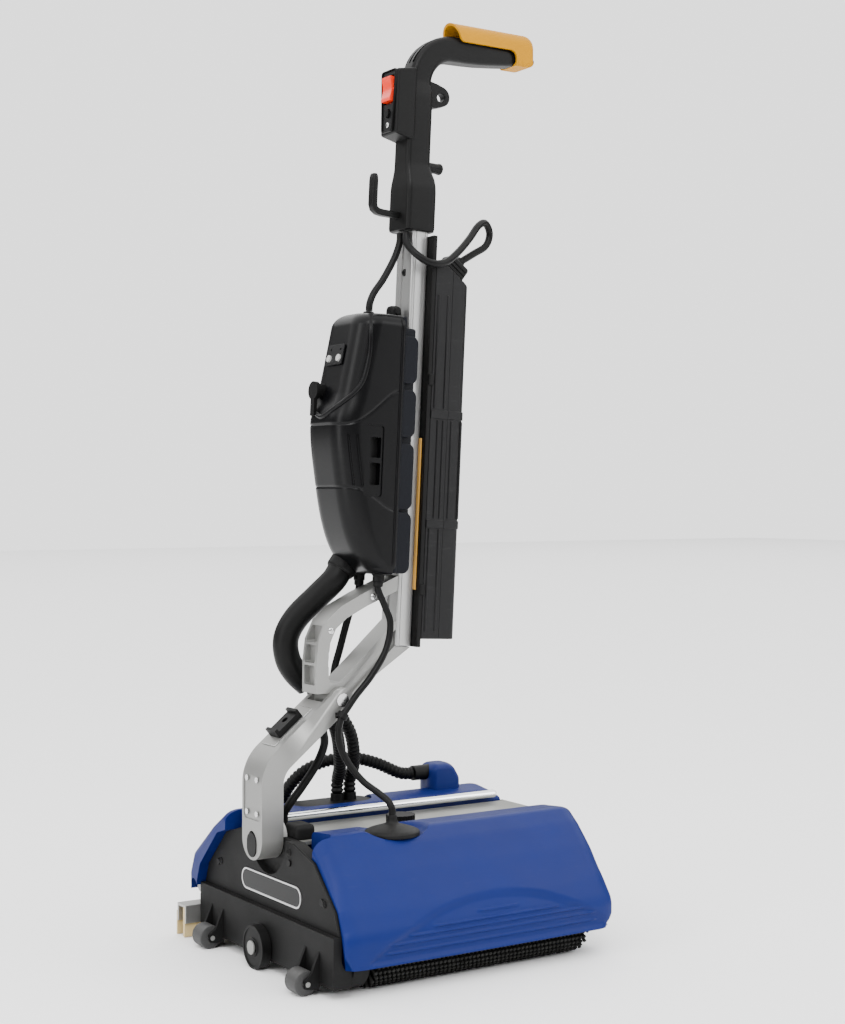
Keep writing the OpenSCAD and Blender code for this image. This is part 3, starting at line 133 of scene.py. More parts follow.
def flatSpot(facing, a, b, depth):
    return {"x": mm(depth, a, b), "y": mm(a, depth, b), "z": mm(a, b, depth)}[facing]


def addPlate(name, outline, low, high, facing):  # a flat outline, filled and extruded
    piece = addLoop(name, [flatSpot(facing, a, b, low) for a, b in outline], "NGON")
    enterEdit()
    step = flatSpot(facing, 0, 0, high - low)
    bpy.ops.mesh.extrude_region_move(TRANSFORM_OT_translate={"value": step})
    leaveEdit()
    return piece


def addTurned(name, profile, steps=48):  # profile of (radius, height), spun about the Z axis
    piece = addLoop(name, [mm(r, 0, h) for r, h in profile], "NOTHING")
    bpy.ops.object.mode_set(mode="EDIT")
    bpy.ops.mesh.select_mode(type="EDGE")
    bpy.ops.mesh.select_all(action="DESELECT")
    bpy.ops.object.mode_set(mode="OBJECT")
    for edge in piece.data.edges:  # the side that closes the loop is taken out
        edge.select = set(edge.vertices) == {0, len(profile) - 1}
    bpy.ops.object.mode_set(mode="EDIT")
    bpy.ops.mesh.delete(type="EDGE")
    enterEdit()
    bpy.ops.mesh.spin(steps=steps, angle=2 * math.pi, center=(0, 0, 0), axis=(0, 0, 1))
    weld()
    leaveEdit()
    return piece


def addSkin(name, rings):  # a grid pulled over rings of points, seam merged and ends filled
    restMode()
    count, rows = len(rings[0]), len(rings) - 1
    bpy.ops.mesh.primitive_grid_add(x_subdivisions=count, y_subdivisions=rows, size=1)
    piece = bpy.context.object
    piece.name = name
    for vertex in piece.data.vertices:
        column = round((vertex.co.x + 0.5) * count)
        row = round((vertex.co.y + 0.5) * rows)
        vertex.co = rings[row][column % count]
    enterEdit()
    weld()
    bpy.ops.mesh.fill_holes(sides=0)
    leaveEdit()
    return piece


def useModifier(piece, kind, **settings):
    onlyThis(piece)
    step = piece.modifiers.new(kind.lower(), kind)
    for key, value in settings.items():
        setattr(step, key, value)
    bpy.ops.object.modifier_apply(modifier=step.name)
    return piece


def soften(piece, width, segments=3, angle=30):
    return useModifier(piece, "BEVEL", width=width / 1000, segments=segments, limit_method="ANGLE",
        angle_limit=math.radians(angle))


def cutAway(piece, *tools, operation="DIFFERENCE"):
    for tool in tools:
        useModifier(piece, "BOOLEAN", operation=operation, solver="EXACT", object=tool)
        bpy.data.objects.remove(tool)
    return piece


def mergePieces(name, parts):
    restMode()
    for part in parts:
        part.select_set(True)
    bpy.context.view_layer.objects.active = parts[0]
    bpy.ops.object.join()
    parts[0].name = name
    return parts[0]


def copyPiece(piece, name):
    onlyThis(piece)
    bpy.ops.object.duplicate(linked=False)
    bpy.context.object.name = name
    return bpy.context.object


def shift(piece, place):
    onlyThis(piece)
    piece.matrix_world = place @ piece.matrix_world
    return bakePlace(piece, piece.name)


def settle(piece, place, body, finish, stands=(), slot=None, angle=35, flats=True):
    shift(piece, place)
    bpy.ops.object.shade_smooth_by_angle(angle=math.radians(angle))
    if flats:
        useModifier(piece, "WEIGHTED_NORMAL", keep_sharp=True)
    piece.data.materials.clear()
    piece.data.materials.append(finishes[finish])
    if stands:
        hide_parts(*stands)
    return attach(piece, body) if body else piece


def onHead(piece, finish, node, slot, spot=here, **more):
    return settle(piece, headPlace @ spot, "head", finish, [node], slot, **more)


def onPole(piece, finish, node, slot, spot=here, **more):
    return settle(piece, polePlace @ spot, "handle", finish, [node], slot, **more)


def circleOutline(radius, sides):
    turns = [2 * math.pi * k / sides for k in range(sides)]
    return [(radius * math.cos(turn), radius * math.sin(turn)) for turn in turns]


def roundedOutline(points, radius, steps=6):  # every corner of a flat outline drawn as an arc
    outline = []
    count = len(points)
    nearlyHalf, nearlyStraight = 0.49, 1.55
    for i, spot in enumerate(points):
        r = spot[2] if len(spot) > 2 else radius
        p, before, after = Vector(spot[:2]), Vector(points[i - 1][:2]), Vector(points[(i + 1) % count][:2])
        a, b = (before - p), (after - p)
        half = a.angle(b) / 2
        reach = 0
        if half < nearlyStraight:
            reach = min(r / math.tan(half), a.length * nearlyHalf, b.length * nearlyHalf)
        if reach < 1e-4 or r <= 0:
            outline.append(tuple(p))
            continue
        start, stop = p + a.normalized() * reach, p + b.normalized() * reach
        middle = p + (a.normalized() + b.normalized()).normalized() * reach / math.cos(half)
        first, sweep = start - middle, (start - middle).angle_signed(stop - middle)
        for k in range(steps + 1):
            turn = -sweep * k / steps
            outline.append((middle.x + first.x * math.cos(turn) - first.y * math.sin(turn),
                middle.y + first.x * math.sin(turn) + first.y * math.cos(turn)))
    return outline


def boxOutline(low, high, radius, steps=6):  # a rounded rectangle between two corners
    (a, b), (c, d) = low, high
    return roundedOutline([(a, b), (c, b), (c, d), (a, d)], radius, steps)


def easeRoute(route, steps=8):  # the same smooth curve that the solids follow
    points = [Vector(p) for p in route]
    smooth = []
    for i in range(len(points) - 1):
        a, b, c, d = points[max(i - 1, 0)], points[i], points[i + 1], points[min(i + 2, len(points) - 1)]
        bend = 2 * a - 5 * b + 4 * c - d
        twist = 3 * b - a - 3 * c + d
        for j in range(steps):
            t = j / steps
            smooth.append(0.5 * (2 * b + (c - a) * t + bend * t ** 2 + twist * t ** 3))
    return smooth + [points[-1]]


def evenPoints(points, count):  # points at even spacing, and the whole length
    runs = [0]
    for a, b in zip(points, points[1:]):
        runs.append(runs[-1] + (b - a).length)
    even, k = [], 0
    for i in range(count):
        want = runs[-1] * i / (count - 1)
        while k < len(runs) - 2 and runs[k + 1] < want:
            k += 1
        even.append(points[k].lerp(points[k + 1], (want - runs[k]) / max(runs[k + 1] - runs[k], 1e-9)))
    return even, runs[-1]


def aheadAt(points, i):
    return (points[min(i + 1, len(points) - 1)] - points[max(i - 1, 0)]).normalized()


def sweptRings(points, section):  # section(i) gives the offsets of ring i; frames keep from twisting
    rings = []
    up = aheadAt(points, 0).orthogonal().normalized()
    for i, p in enumerate(points):
        ahead = aheadAt(points, i)
        up = (up - ahead * up.dot(ahead)).normalized()
        side = ahead.cross(up)
        rings.append([(p + side * a + up * b) / 1000 for a, b in section(i)])
    return rings


# camera at the photograph's place: about level with the machine's middle, turned to show front and left side
view = {"at": (-1.1152, -1.7638, 0.543), "turn": (90, 0, -33), "lens": 60.1, "down": -0.0146, "far": 50}
bpy.ops.object.camera_add(location=view["at"], rotation=[math.radians(a) for a in view["turn"]])
camera = bpy.context.object
camera.name = "photoCamera"
camera.data.lens = view["lens"]
camera.data.shift_y = view["down"]
camera.data.clip_end = view["far"]
bpy.context.scene.camera = camera
print("camera placed")


# finishes: shared effects are node groups, each used with its own numbers
def linear(colour):  # a colour as seen, 0 to 255, turned into light
    shares = [c / 255 for c in colour]
    return (*[s / 12.92 if s <= 10 / 255 else ((s + 0.055) / 1.055) ** 2.4 for s in shares], 1)


def feed(tree, socket, value):  # a number, a colour or another node's output
    if isinstance(value, bpy.types.NodeSocket):
        tree.links.new(value, socket)
    else:
        socket.default_value = value


def addNode(tree, kind, **settings):  # a setting goes to the input of that name, or else to the node
    node = tree.nodes.new(kind)
    for key, value in settings.items():
        if key in node.inputs:
            feed(tree, node.inputs[key], value)
        else:
            setattr(node, key, value)
    return node


def newGroup(name, inputs, outputs):
    group = bpy.data.node_groups.new(name, "ShaderNodeTree")
    for label, kind, value in inputs:
        socket = group.interface.new_socket(name=label, in_out="INPUT", socket_type=kind)
        socket.default_value = value
    for label in outputs:
        group.interface.new_socket(name=label, in_out="OUTPUT", socket_type="NodeSocketFloat")
    return group, group.nodes.new("NodeGroupInput").outputs, group.nodes.new("NodeGroupOutput").inputs


def spread(tree, source, low, high, outLow=0.0, outHigh=1.0):
    ends = {"From Min": low, "From Max": high, "To Min": outLow, "To Max": outHigh}
    return addNode(tree, "ShaderNodeMapRange", clamp=True, Value=source, **ends).outputs["Result"]


def multiply(tree, a, b):
    node = addNode(tree, "ShaderNodeMath", operation="MULTIPLY")
    for socket, value in zip(node.inputs, (a, b)):
        feed(tree, socket, value)
    return node.outputs[0]


def mixColours(tree, factor, first, second):
    node = addNode(tree, "ShaderNodeMix", data_type="RGBA", Factor=factor)
    for socket, value in zip([s for s in node.inputs if s.type == "RGBA"], (first, second)):
        feed(tree, socket, value)
    return [s for s in node.outputs if s.type == "RGBA"][0]


def addNoise(tree, where, scale, **settings):
    return addNode(tree, "ShaderNodeTexNoise", Vector=where, Scale=scale, **settings).outputs["Fac"]


def objectPlace(tree, stretch=None):  # object coordinates, drawn out along one way if asked
    where = addNode(tree, "ShaderNodeTexCoord").outputs["Object"]
    if stretch is None:
        return where
    drawn = addNode(tree, "ShaderNodeVectorMath", operation="MULTIPLY")
    feed(tree, drawn.inputs[0], where)
    feed(tree, drawn.inputs[1], stretch)
    return drawn.outputs[0]


# light: a big soft sheet overhead, three smaller ones at the front and sides, and a pale room
studio = {"room": 0.22, "backdrop": 2.0, "floor": (0.97, 0.97, 0.97), "floorSize": 30, "floorRough": 0.6}
lamps = [  # name, place, aim, size, power
    ("overheadSheet", (0, 0, 10), (0, 0, 0), (46, 46), 16500),
    ("keySheet", (-1.1, -2.0, 2.6), (0, 0, 0.5), (1.2, 1.2), 46),
    ("leftSheet", (-2.8, -0.4, 1.2), (0, 0, 0.5), (0.8, 2.2), 34),
    ("rightSheet", (1.9, -2.2, 1.3), (0, 0, 0.5), (0.7, 2.2), 24),
]
for name, place, aim, size, power in lamps:
    restMode()
    bpy.ops.object.light_add(type="AREA", location=place)
    lamp = bpy.context.object
    lamp.name = name
    lamp.data.shape = "RECTANGLE"
    lamp.data.size, lamp.data.size_y = size
    lamp.data.energy = power
    lamp.rotation_euler = (Vector(aim) - Vector(place)).to_track_quat("-Z", "Y").to_euler()
world = bpy.data.worlds.new("paleRoom")
world.use_nodes = True
room = world.node_tree
seen = addNode(room, "ShaderNodeLightPath")  # the eye meets a white backdrop, the machine a dimmer room
strength = spread(room, seen.outputs["Is Camera Ray"], 0, 1, studio["room"], studio["backdrop"])
feed(room, room.nodes["Background"].inputs["Color"], (1, 1, 1, 1))
feed(room, room.nodes["Background"].inputs["Strength"], strength)
bpy.context.scene.world = world
print("light set")


def makeGrain():  # fine moulded texture and slow patches of shade
    group, enter, leave = newGroup("mouldGrain", [("Stretch", "NodeSocketVector", (1, 1, 1)),
        ("Fine", "NodeSocketFloat", 900), ("Patch", "NodeSocketFloat", 14)], ["Height", "Shade"])
    feed(group, leave["Height"],
        addNoise(group, objectPlace(group, enter["Stretch"]), enter["Fine"], Detail=3, Roughness=0.6))
    slow = addNoise(group, objectPlace(group), enter["Patch"], Detail=4, Roughness=0.55)
    feed(group, leave["Shade"], spread(group, slow, 0.3, 0.7))
    return group


def makeDust():  # pale dust where a face looks up
    group, enter, leave = newGroup("settledDust", [("Scale", "NodeSocketFloat", 30)], ["Mask"])
    shape = addNode(group, "ShaderNodeNewGeometry")
    parts = addNode(group, "ShaderNodeSeparateXYZ", Vector=shape.outputs["Normal"])
    cloud = addNoise(group, objectPlace(group), enter["Scale"], Detail=6, Roughness=0.7)
    up = spread(group, parts.outputs["Z"], 0.35, 0.95)
    feed(group, leave["Mask"], multiply(group, up, spread(group, cloud, 0.35, 0.75)))
    return group


def makeScuffs():  # thin handling marks
    group, enter, leave = newGroup("scuffMarks",
        [("Stretch", "NodeSocketVector", (1, 1, 8)), ("Scale", "NodeSocketFloat", 40)], ["Mask"])
    where = objectPlace(group, enter["Stretch"])
    lines = addNoise(group, where, enter["Scale"], Detail=8, Roughness=0.75, Distortion=0.3)
    feed(group, leave["Mask"], spread(group, lines, 0.58, 0.72))
    return group


grainGroup, dustGroup, scuffGroup = makeGrain(), makeDust(), makeScuffs()
paint = {"scuff": (0.55, 0.55, 0.54, 1), "dust": (0.62, 0.6, 0.56, 1), "coatRough": 0.05}


def makeFinish(name, colour, rough, metal=0.0, coat=0.0, fine=900, depth=0.02, stretch=(1, 1, 1), patch=14,
        shade=0.06, roughSpread=0.08, dust=0.12, scuff=0.05, specular=0.5):
    material = bpy.data.materials.new(name)
    material.use_nodes = True
    tree = material.node_tree
    grain = addNode(tree, "ShaderNodeGroup", node_tree=grainGroup, Stretch=stretch, Fine=fine, Patch=patch)
    grain = grain.outputs
    marks = addNode(tree, "ShaderNodeGroup", node_tree=scuffGroup)
    dusty = addNode(tree, "ShaderNodeGroup", node_tree=dustGroup)
    darker = (*[c * (1 - shade) for c in colour[:3]], 1)
    paler = (*[min(1, c * (1 + shade)) for c in colour[:3]], 1)
    tone = mixColours(tree, grain["Shade"], darker, paler)
    tone = mixColours(tree, multiply(tree, marks.outputs["Mask"], scuff), tone, paint["scuff"])
    tone = mixColours(tree, multiply(tree, dusty.outputs["Mask"], dust), tone, paint["dust"])
    bump = addNode(tree, "ShaderNodeBump", Strength=1.0, Distance=depth / 1000, Height=grain["Height"])
    surface = {
        "Metallic": metal, "Coat Weight": coat, "Coat Roughness": paint["coatRough"],
        "Specular IOR Level": specular, "Base Color": tone, "Normal": bump.outputs["Normal"],
        "Roughness": spread(tree, grain["Shade"], 0, 1, rough - roughSpread / 2, rough + roughSpread / 2)}
    for key, value in surface.items():
        feed(tree, tree.nodes["Principled BSDF"].inputs[key], value)
    return material


dull = {"dust": 0.006, "scuff": 0.006, "specular": 0.14}
alloy = {"metal": 0.85, "fine": 260, "depth": 0.006}
finishTable = {  # colour as seen, roughness, and what differs from a plain finish
    "tankBlue": ((6, 25, 88), 0.45, dict(dull, fine=700, depth=0.10, shade=0.05, specular=0.16)),
    "coverBlack": ((13, 13, 13), 0.62, dict(fine=1100, depth=0.06, dust=0.01, scuff=0.008, specular=0.16)),
    "glossBlack": ((5, 5, 6), 0.3, dict(dull, fine=400, depth=0.008, roughSpread=0.05)),
    "satinBlack": ((9, 9, 9), 0.42, dict(dull, depth=0.04)),
    "softBlack": ((9, 9, 9), 0.5, dict(dull, depth=0.05)),
    "batteryGrey": ((16, 16, 17), 0.45, dict(fine=1200, depth=0.05, dust=0.02, scuff=0.02, specular=0.18)),
    "satinAlloy": ((168, 168, 167), 0.38, dict(alloy, stretch=(6, 6, 0.25), shade=0.03, dust=0.03)),
    "castAlloy": ((140, 140, 138), 0.46, dict(metal=0.75, fine=500, depth=0.05, shade=0.05, dust=0.04)),
    "barAlloy": ((165, 165, 163), 0.40, dict(alloy, stretch=(0.25, 6, 6), shade=0.04, dust=0.04)),
    "brightSteel": ((205, 205, 205), 0.22, dict(metal=1.0, fine=300, depth=0.004, shade=0.03, dust=0.02)),
    "chromed": ((222, 224, 226), 0.10, dict(metal=1.0, fine=200, depth=0.002, shade=0.02, dust=0.02,
        scuff=0.02, roughSpread=0.04)),
    "deckGrey": ((132, 132, 127), 0.42, dict(metal=0.6, fine=800, depth=0.03, dust=0.10, scuff=0.08)),
    "hoseRubber": ((8, 8, 8), 0.48, dict(dull, depth=0.03)),
    "cableSkin": ((8, 8, 8), 0.42, dull),
    "bristleBlack": ((38, 38, 37), 0.85, dict(fine=1500, depth=0.08, shade=0.25, patch=60, dust=0.006,
        scuff=0.004, specular=0.06)),
    "gripYellow": ((176, 121, 0), 0.45, dict(depth=0.05, shade=0.04, dust=0.004, scuff=0.004, specular=0.08)),
    "rockerOrange": ((222, 44, 14), 0.32, dict(fine=500, depth=0.01, coat=0.3, dust=0.02, scuff=0.02)),
    "treadGrey": ((48, 48, 48), 0.6, dict(depth=0.05, dust=0.04, scuff=0.04)),
    "bladeBeige": ((190, 168, 120), 0.5, dict(fine=600, dust=0.04, scuff=0.04)),
    "paleGrey": ((165, 165, 163), 0.5, dict(fine=800, depth=0.03, dust=0.06)),
    "bungRubber": ((11, 11, 11), 0.55, dict(depth=0.04, dust=0.02, scuff=0.02, specular=0.16)),
    "backBlue": ((4, 6, 13), 0.5, dict(fine=500, dust=0.005, scuff=0.004, specular=0.14)),
    "panelGrey": ((12, 12, 13), 0.4, dict(fine=1200, dust=0.006, scuff=0.004, specular=0.2)),
    "ochreStrip": ((188, 140, 60), 0.5, dict(fine=700, depth=0.03, dust=0.04)),
    "silverLine": ((200, 200, 200), 0.3, dict(metal=0.7, fine=400, depth=0.005, dust=0.03)),
    "cellWrap": ((70, 110, 160), 0.4, dict(fine=500)),
    "innerGrey": ((120, 122, 124), 0.45, dict(metal=0.4, fine=500)),
}
finishes = {}
for name, (colour, rough, more) in finishTable.items():
    finishes[name] = makeFinish(name, linear(colour), rough, **more)
print("finishes made:", len(finishes))

# the solids that show as they are, most of them inside
solidFinish = {
    "coverBlack": ["brush_tunnel"],
    "paleGrey": ["bushes"],
    "innerGrey": ["brush_motor", "suction_motor", "suction_fan", "motor_pulley", "idler_pulley"],
    "hoseRubber": ["drive_belt"],
    "softBlack": ["front_brush_core", "rear_brush_core"],
    "cellWrap": ["battery_cells"],
}
for finish, names in solidFinish.items():
    for name in names:
        solid = nodes[name]
        solid.data.materials.clear()
        solid.data.materials.append(finishes[finish])
print("solids finished")

# cables and hoses: the routes of the solids, in millimetres about the middle of the head
hoseShape = {"ribDepth": 1.6, "ribPitch": 6.0, "ribPower": 1.6, "sides": 24, "ringsPerRib": 6, "ringStep": 4,
    "leastRings": 15, "pathStep": 3, "leastPath": 24}


def addTube(name, route, radius, finish, ribbed=False, sides=20):
    smooth = easeRoute(route)
    length = evenPoints(smooth, 2)[1]
    perRib = hoseShape["ringsPerRib"]
    if ribbed:
        sides = hoseShape["sides"]
        count = round(length / hoseShape["ribPitch"]) * perRib + 1
    else:
        count = max(hoseShape["leastRings"], round(length / hoseShape["ringStep"]))

    def section(i):
        wave = 0.5 - 0.5 * math.cos(2 * math.pi * i / perRib)
        dip = hoseShape["ribDepth"] * (1 - wave) ** hoseShape["ribPower"] if ribbed else 0
        return circleOutline(radius - dip, sides)

    piece = addSkin(name, sweptRings(evenPoints(smooth, count)[0], section))
    settle(piece, headPlace, None, finish, angle=50, flats=False)
    steps = max(hoseShape["leastPath"], round(length / hoseShape["pathStep"]))
    path = [headPlace @ (p / 1000) for p in evenPoints(smooth, steps)[0]]
    return piece, path, sum((b - a).length for a, b in zip(path, path[1:]))


routes = {
    "boxCable": [[-12, 0, 863], [-13, 0, 851], [-21, 0, 831], [-36, 0, 806], [-49, 0, 789], [-55, 0, 776],
        [-56, 0, 766.4]],
    "batteryCable": [[-10, -11, 863], [-12, -15, 850], [-8, -28, 836], [8, -36, 825], [30, -36, 827],
        [54, -28, 842], [78, -18, 862], [97, -9, 880], [112, -3, 886], [121, 0, 874], [115, 0, 858],
        [97, 0, 847], [78, 0, 836]],
    "frameCable": [[-57, 22, 441], [-57, 22, 433], [-60, 25, 421], [-66, 28, 405], [-73, 29, 382],
        [-80, 29.5, 358], [-86, 29, 341], [-90, 26, 329], [-91, 23, 327], [-91, 19.4, 327]],
    "upperWater": [[-57, -22, 441], [-57, -22, 433], [-50, -26, 413], [-44, -29, 392], [-52, -32, 362],
        [-72, -33, 333], [-94, -33, 310], [-111, -33, 289.2]],
    "lowerWater": [[-113, -33, 286.6], [-118, -34, 273], [-118, -37, 254], [-110, -45, 232], [-98, -57, 213],
        [-86, -70, 201], [-79, -81, 192], [-77, -86, 183], [-77, -86, 176.4]],
    "upperVacuum": [[-112.5, 47.8, 316.6], [-106, 48, 308.5], [-98, 47, 300.5], [-90.2, 46.2, 294]],
    "lowerVacuum": [[-87.8, 45.8, 292], [-79, 45, 285], [-64, 46, 270], [-52, 50, 252], [-42, 60, 230],
        [-33, 76, 208], [-29, 90, 193], [-29, 92, 184], [-29, 92, 179], [-29, 92, 174.2]],
    "conduit": [[-101, 15, 281], [-94, 18, 270], [-82, 30, 252], [-68, 50, 230], [-56, 70, 209],
        [-48, 88, 194], [-47, 92, 185], [-47, 92, 179], [-47, 92, 174.2]],
    "motorCable": [[-117, 8, 276], [-113, 11, 264], [-110, 14, 248], [-119, 17, 225], [-138, 18, 200],
        [-154, 18, 182], [-160, 21, 171], [-160, 22, 164], [-160, 22, 160], [-160, 22, 156.6]],
    "squeegeeHose": [[65.4, 95, 188], [46, 95, 190.5], [14, 98, 205], [-20, 102, 214], [-52, 112, 211],
        [-78, 128, 196], [-90, 150, 168], [-90, 170, 134], [-90, 179, 100], [-90, 178, 72], [-90, 178, 48.6]],
    "elbow": [[-84, 24, 453], [-92, 24, 442.5], [-109, 34, 423], [-131, 45, 398], [-142, 50, 374],
        [-140, 50, 350], [-129, 50, 332], [-114, 48, 318]],
}

elbow = addTube("suctionElbow", routes["elbow"], 15.5, "hoseRubber", sides=40)[0]
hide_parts("suction_elbow")
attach(elbow, "handle")

cordTable = [  # name, radius, ribbed, finish, solid
    ("boxCable", 4.25, False, "cableSkin", "handle_cables"),
    ("batteryCable", 4.5, False, "cableSkin", "handle_cables"),
    ("frameCable", 4.5, False, "cableSkin", "handle_cables"),
    ("upperWater", 4.0, False, "cableSkin", "upper_hoses"),
    ("upperVacuum", 8.0, True, "hoseRubber", "upper_hoses"),
    ("lowerWater", 4.0, False, "cableSkin", "lower_hoses"),
    ("lowerVacuum", 8.0, True, "hoseRubber", "lower_hoses"),
    ("conduit", 8.0, True, "hoseRubber", "lower_hoses"),
    ("motorCable", 5.0, False, "cableSkin", "lower_hoses"),
    ("squeegeeHose", 8.0, True, "hoseRubber", "squeegee_hose"),
]
for name, radius, ribbed, finish, node in cordTable:
    piece, path, run = addTube(name, routes[name], radius, finish, ribbed)
    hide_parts(node)
    if node == "handle_cables":
        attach(piece, "handle")
    elif node == "upper_hoses":
        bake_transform(piece)
    elif node == "lower_hoses":
        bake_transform(piece)
    else:
        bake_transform(piece)
    print(name, "is", round(run * 1000), "mm long")

# softened copies of solids whose shape is already right
castAngle = 28


def rawCopy(name, node):  # a copy of a solid's mesh, merged and ready to be cut
    restMode()
    piece = bpy.data.objects.new(name, nodes[node].data.copy())
    bpy.context.scene.collection.objects.link(piece)
    onlyThis(piece)
    enterEdit()
    weld(2e-6)
    bpy.ops.mesh.customdata_custom_splitnormals_clear()
    bpy.ops.mesh.dissolve_limited(angle_limit=math.radians(0.6))
    bpy.ops.object.mode_set(mode="OBJECT")
    return piece


def dressSolid(name, node, finish, slot, width, segments=2):
    piece = soften(rawCopy(name, node), width, segments, castAngle)
    body = next(b for b, members in frame["record"]["behaviour"]["bodies"].items() if node in members)
    return settle(piece, here, body, finish, [node], slot, angle=40)


softCopies = [  # name, solid, finish, slot, edge width
    ("capPanel", "right_cover", "coverBlack", "cover", 0.8),
    ("rollerForks", "roller_brackets", "coverBlack", "dark_plastic", 1.0),
    ("pins", "axle_pins", "castAlloy", "steel", 0.5),
    ("squeegeeChannel", "squeegee_frame", "barAlloy", "aluminium", 1.0),
    ("squeegeeRubber", "squeegee_blades", "bladeBeige", "blade", 0.4),
    ("armScrews", "arm_fasteners", "brightSteel", "steel", 0.4),
    ("armTrim", "arm_trim", "softBlack", "dark_plastic", 0.8),
    ("latchSlide", "latch_slider", "softBlack", "dark_plastic", 0.9),
    ("powerSwitch", "power_rocker", "rockerOrange", "rocker", 0.8),
    ("resetKnob", "reset_button", "softBlack", "button", 0.6),
    ("keyFront", "panel_button_front", "paleGrey", "button", 0.6),
    ("keyRear", "panel_button_rear", "paleGrey", "button", 0.6),
    ("boxCatch", "box_latch", "softBlack", "dark_plastic", 1.2),
    ("clampWheel", "clamp_knob", "softBlack", "dark_plastic", 0.8),
    ("batteryRail", "battery_plate", "softBlack", "battery", 1.0),
    ("batteryPlugBody", "battery_plug", "softBlack", "battery", 1.5),
    ("hosePlate", "recess_plate", "softBlack", "dark_plastic", 0.7),
    ("bumperRoll", "rear_bumper", "paleGrey", "bumper", 1.6),
    ("fillerScrewCap", "filler_cap", "softBlack", "dark_plastic", 0.5),
    ("wheelLeft", "left_wheel", "softBlack", "wheel", 1.4),
    ("wheelRight", "right_wheel", "softBlack", "wheel", 1.4),
    ("rollerFront", "front_roller", "treadGrey", "tread", 2.2),
    ("rollerRear", "rear_roller", "treadGrey", "tread", 2.2),
]
for row in softCopies:
    dressSolid(*row)
print("softened copies:", len(softCopies))


# tanks: skins over sections along the machine, drawn in at the ends outside the two covers
def outlineNormals(points):
    normals = []
    for i in range(len(points)):
        run = Vector(points[(i + 1) % len(points)]) - Vector(points[i - 1])
        normals.append(Vector((run.y, -run.x)).normalized())
    area = sum(a[0] * b[1] - b[0] * a[1] for a, b in zip(points, points[1:] + points[:1]))
    return normals if area > 0 else [-n for n in normals]


def outside(line, y, z):  # how far a spot lies outside a convex outline
    reach = []
    for (y0, z0), (y1, z1) in zip(line, line[1:] + line[:1]):
        run = Vector((y1 - y0, z1 - z0)).normalized()
        reach.append((y - y0) * run.y - (z - z0) * run.x)
    return max(reach)


def spreadOutline(points, spacing):  # close points round a closed outline; spacing(p) is wanted at p
    result = []
    for a, b in zip(points, points[1:] + points[:1]):
        a, b = Vector(a), Vector(b)
        step = min(spacing(a), spacing(b), spacing((a + b) / 2))
        count = max(1, math.ceil((b - a).length / step))
        result += [tuple(a.lerp(b, k / count)) for k in range(count)]
    return result


def ramp(value, start, run):  # rises smoothly from 0 to 1 along the run, which may go down
    t = max(0.0, min(1.0, (value - start) / run))
    return t * t * (3 - 2 * t)


def partly(least, share):
    return least + (1 - least) * share


def endSteps(low, high, radius, spacing):  # places along a line, closer where the ends round over
    ends = [radius * (1 - math.cos(math.radians(a))) for a in range(0, 91, 9)]
    flat = high - low - 2 * radius
    count = round(flat / spacing)
    middle = [low + radius + flat * k / count for k in range(1, count)]
    return [low + e for e in ends] + middle + [high - e for e in reversed(ends)]


def roundOver(near, depth):  # how far a section is drawn in; near is 0 at the end and 1 where it is full
    return 0 if near >= 1 else depth * (1 - math.sqrt(max(0, 1 - (1 - near) ** 2)))


def drawnIn(x, low, high, radius, depth):
    return roundOver(min(x - low, high - x) / radius, depth)


coverLine = [(-164.4, 11), (164.4, 11), (164.4, 69), (155.4, 92.4), (108.3, 138.5), (62, 152.4),
    (-62, 152.4), (-108.3, 138.5), (-155.4, 92.4), (-164.4, 69)]
capLine = [(-144.8, 20), (144.8, 20), (144.8, 66), (132, 92), (99, 135), (57, 150),
    (-57, 150), (-99, 135), (-132, 92), (-144.8, 66)]
ends = {"face": 173.6, "rim": 2.2, "far": 250}  # a rim of each tank stays outside the end covers
brushAxis = {"front": -131, "rear": 122, "height": 36, "room": 40.4, "sides": 96}
bungAt = (-77, -86, 154)


def endRoom(x, y, z):
    return max(0, outside(coverLine if x < 0 else capLine, y, z) - ends["rim"])


def tunnelCut(y, start, stop):
    height = brushAxis["height"]
    return addRod("tunnelCut", (start, y, height), (stop, y, height), brushAxis["room"], brushAxis["sides"])


def coverCut():
    return addPlate("coverCut", coverLine, -ends["far"], -ends["face"], "x")


# front tank, with the ribbed arch pressed into its face
frontTank = {"low": -190, "high": 177.6, "corner": 20, "pull": 12.5, "sag": 4, "edge": 14, "step": 2.6,
    "side": [(-50, 96), (-50, 161, 8), (-98, 165, 16), (-118, 150, 60), (-143, 124, 90), (-166, 92, 60),
        (-177, 66, 40), (-176, 12), (-120, 12)],
    "ribs": [(76.5, -16, 43), (68, -78, 100), (61, -111, 134), (53.5, -134, 151), (44.5, -143, 155)],
    "ribRise": 2.1, "ribWidth": 2.2, "ribFade": 7, "ribPower": 1.2, "faceTop": 110, "facing": -0.4,
    "notch": ((-260, -99, 132), (-163, 20, 260)), "tunnel": (-172, 158),
    "under": ((-250, -250, 0), (250, 0, 32)),
    "dish": [(0, -17), (18, -17), (19, 0), (31, 0.2), (34, 1.4), (40, 6), (48, 14), (48, 30), (0, 30)],
    "fine": 1.0, "coarse": 5, "fineFace": -145, "fineBand": (34, 106),
    "bowY": (-60, -60), "bowZ": (55, 40), "bowLeast": 0.4, "thickZ": (60, 50), "thickLeast": 0.3,
    "cornerZ": (50, -20), "cornerX": (150, 25), "cornerFace": -165, "cornerPull": 0.05}
arch = {"top": 98, "middle": 8, "half": 160, "drop": 50, "depth": 3.4, "band": 12, "foot": 33, "footBand": 6}


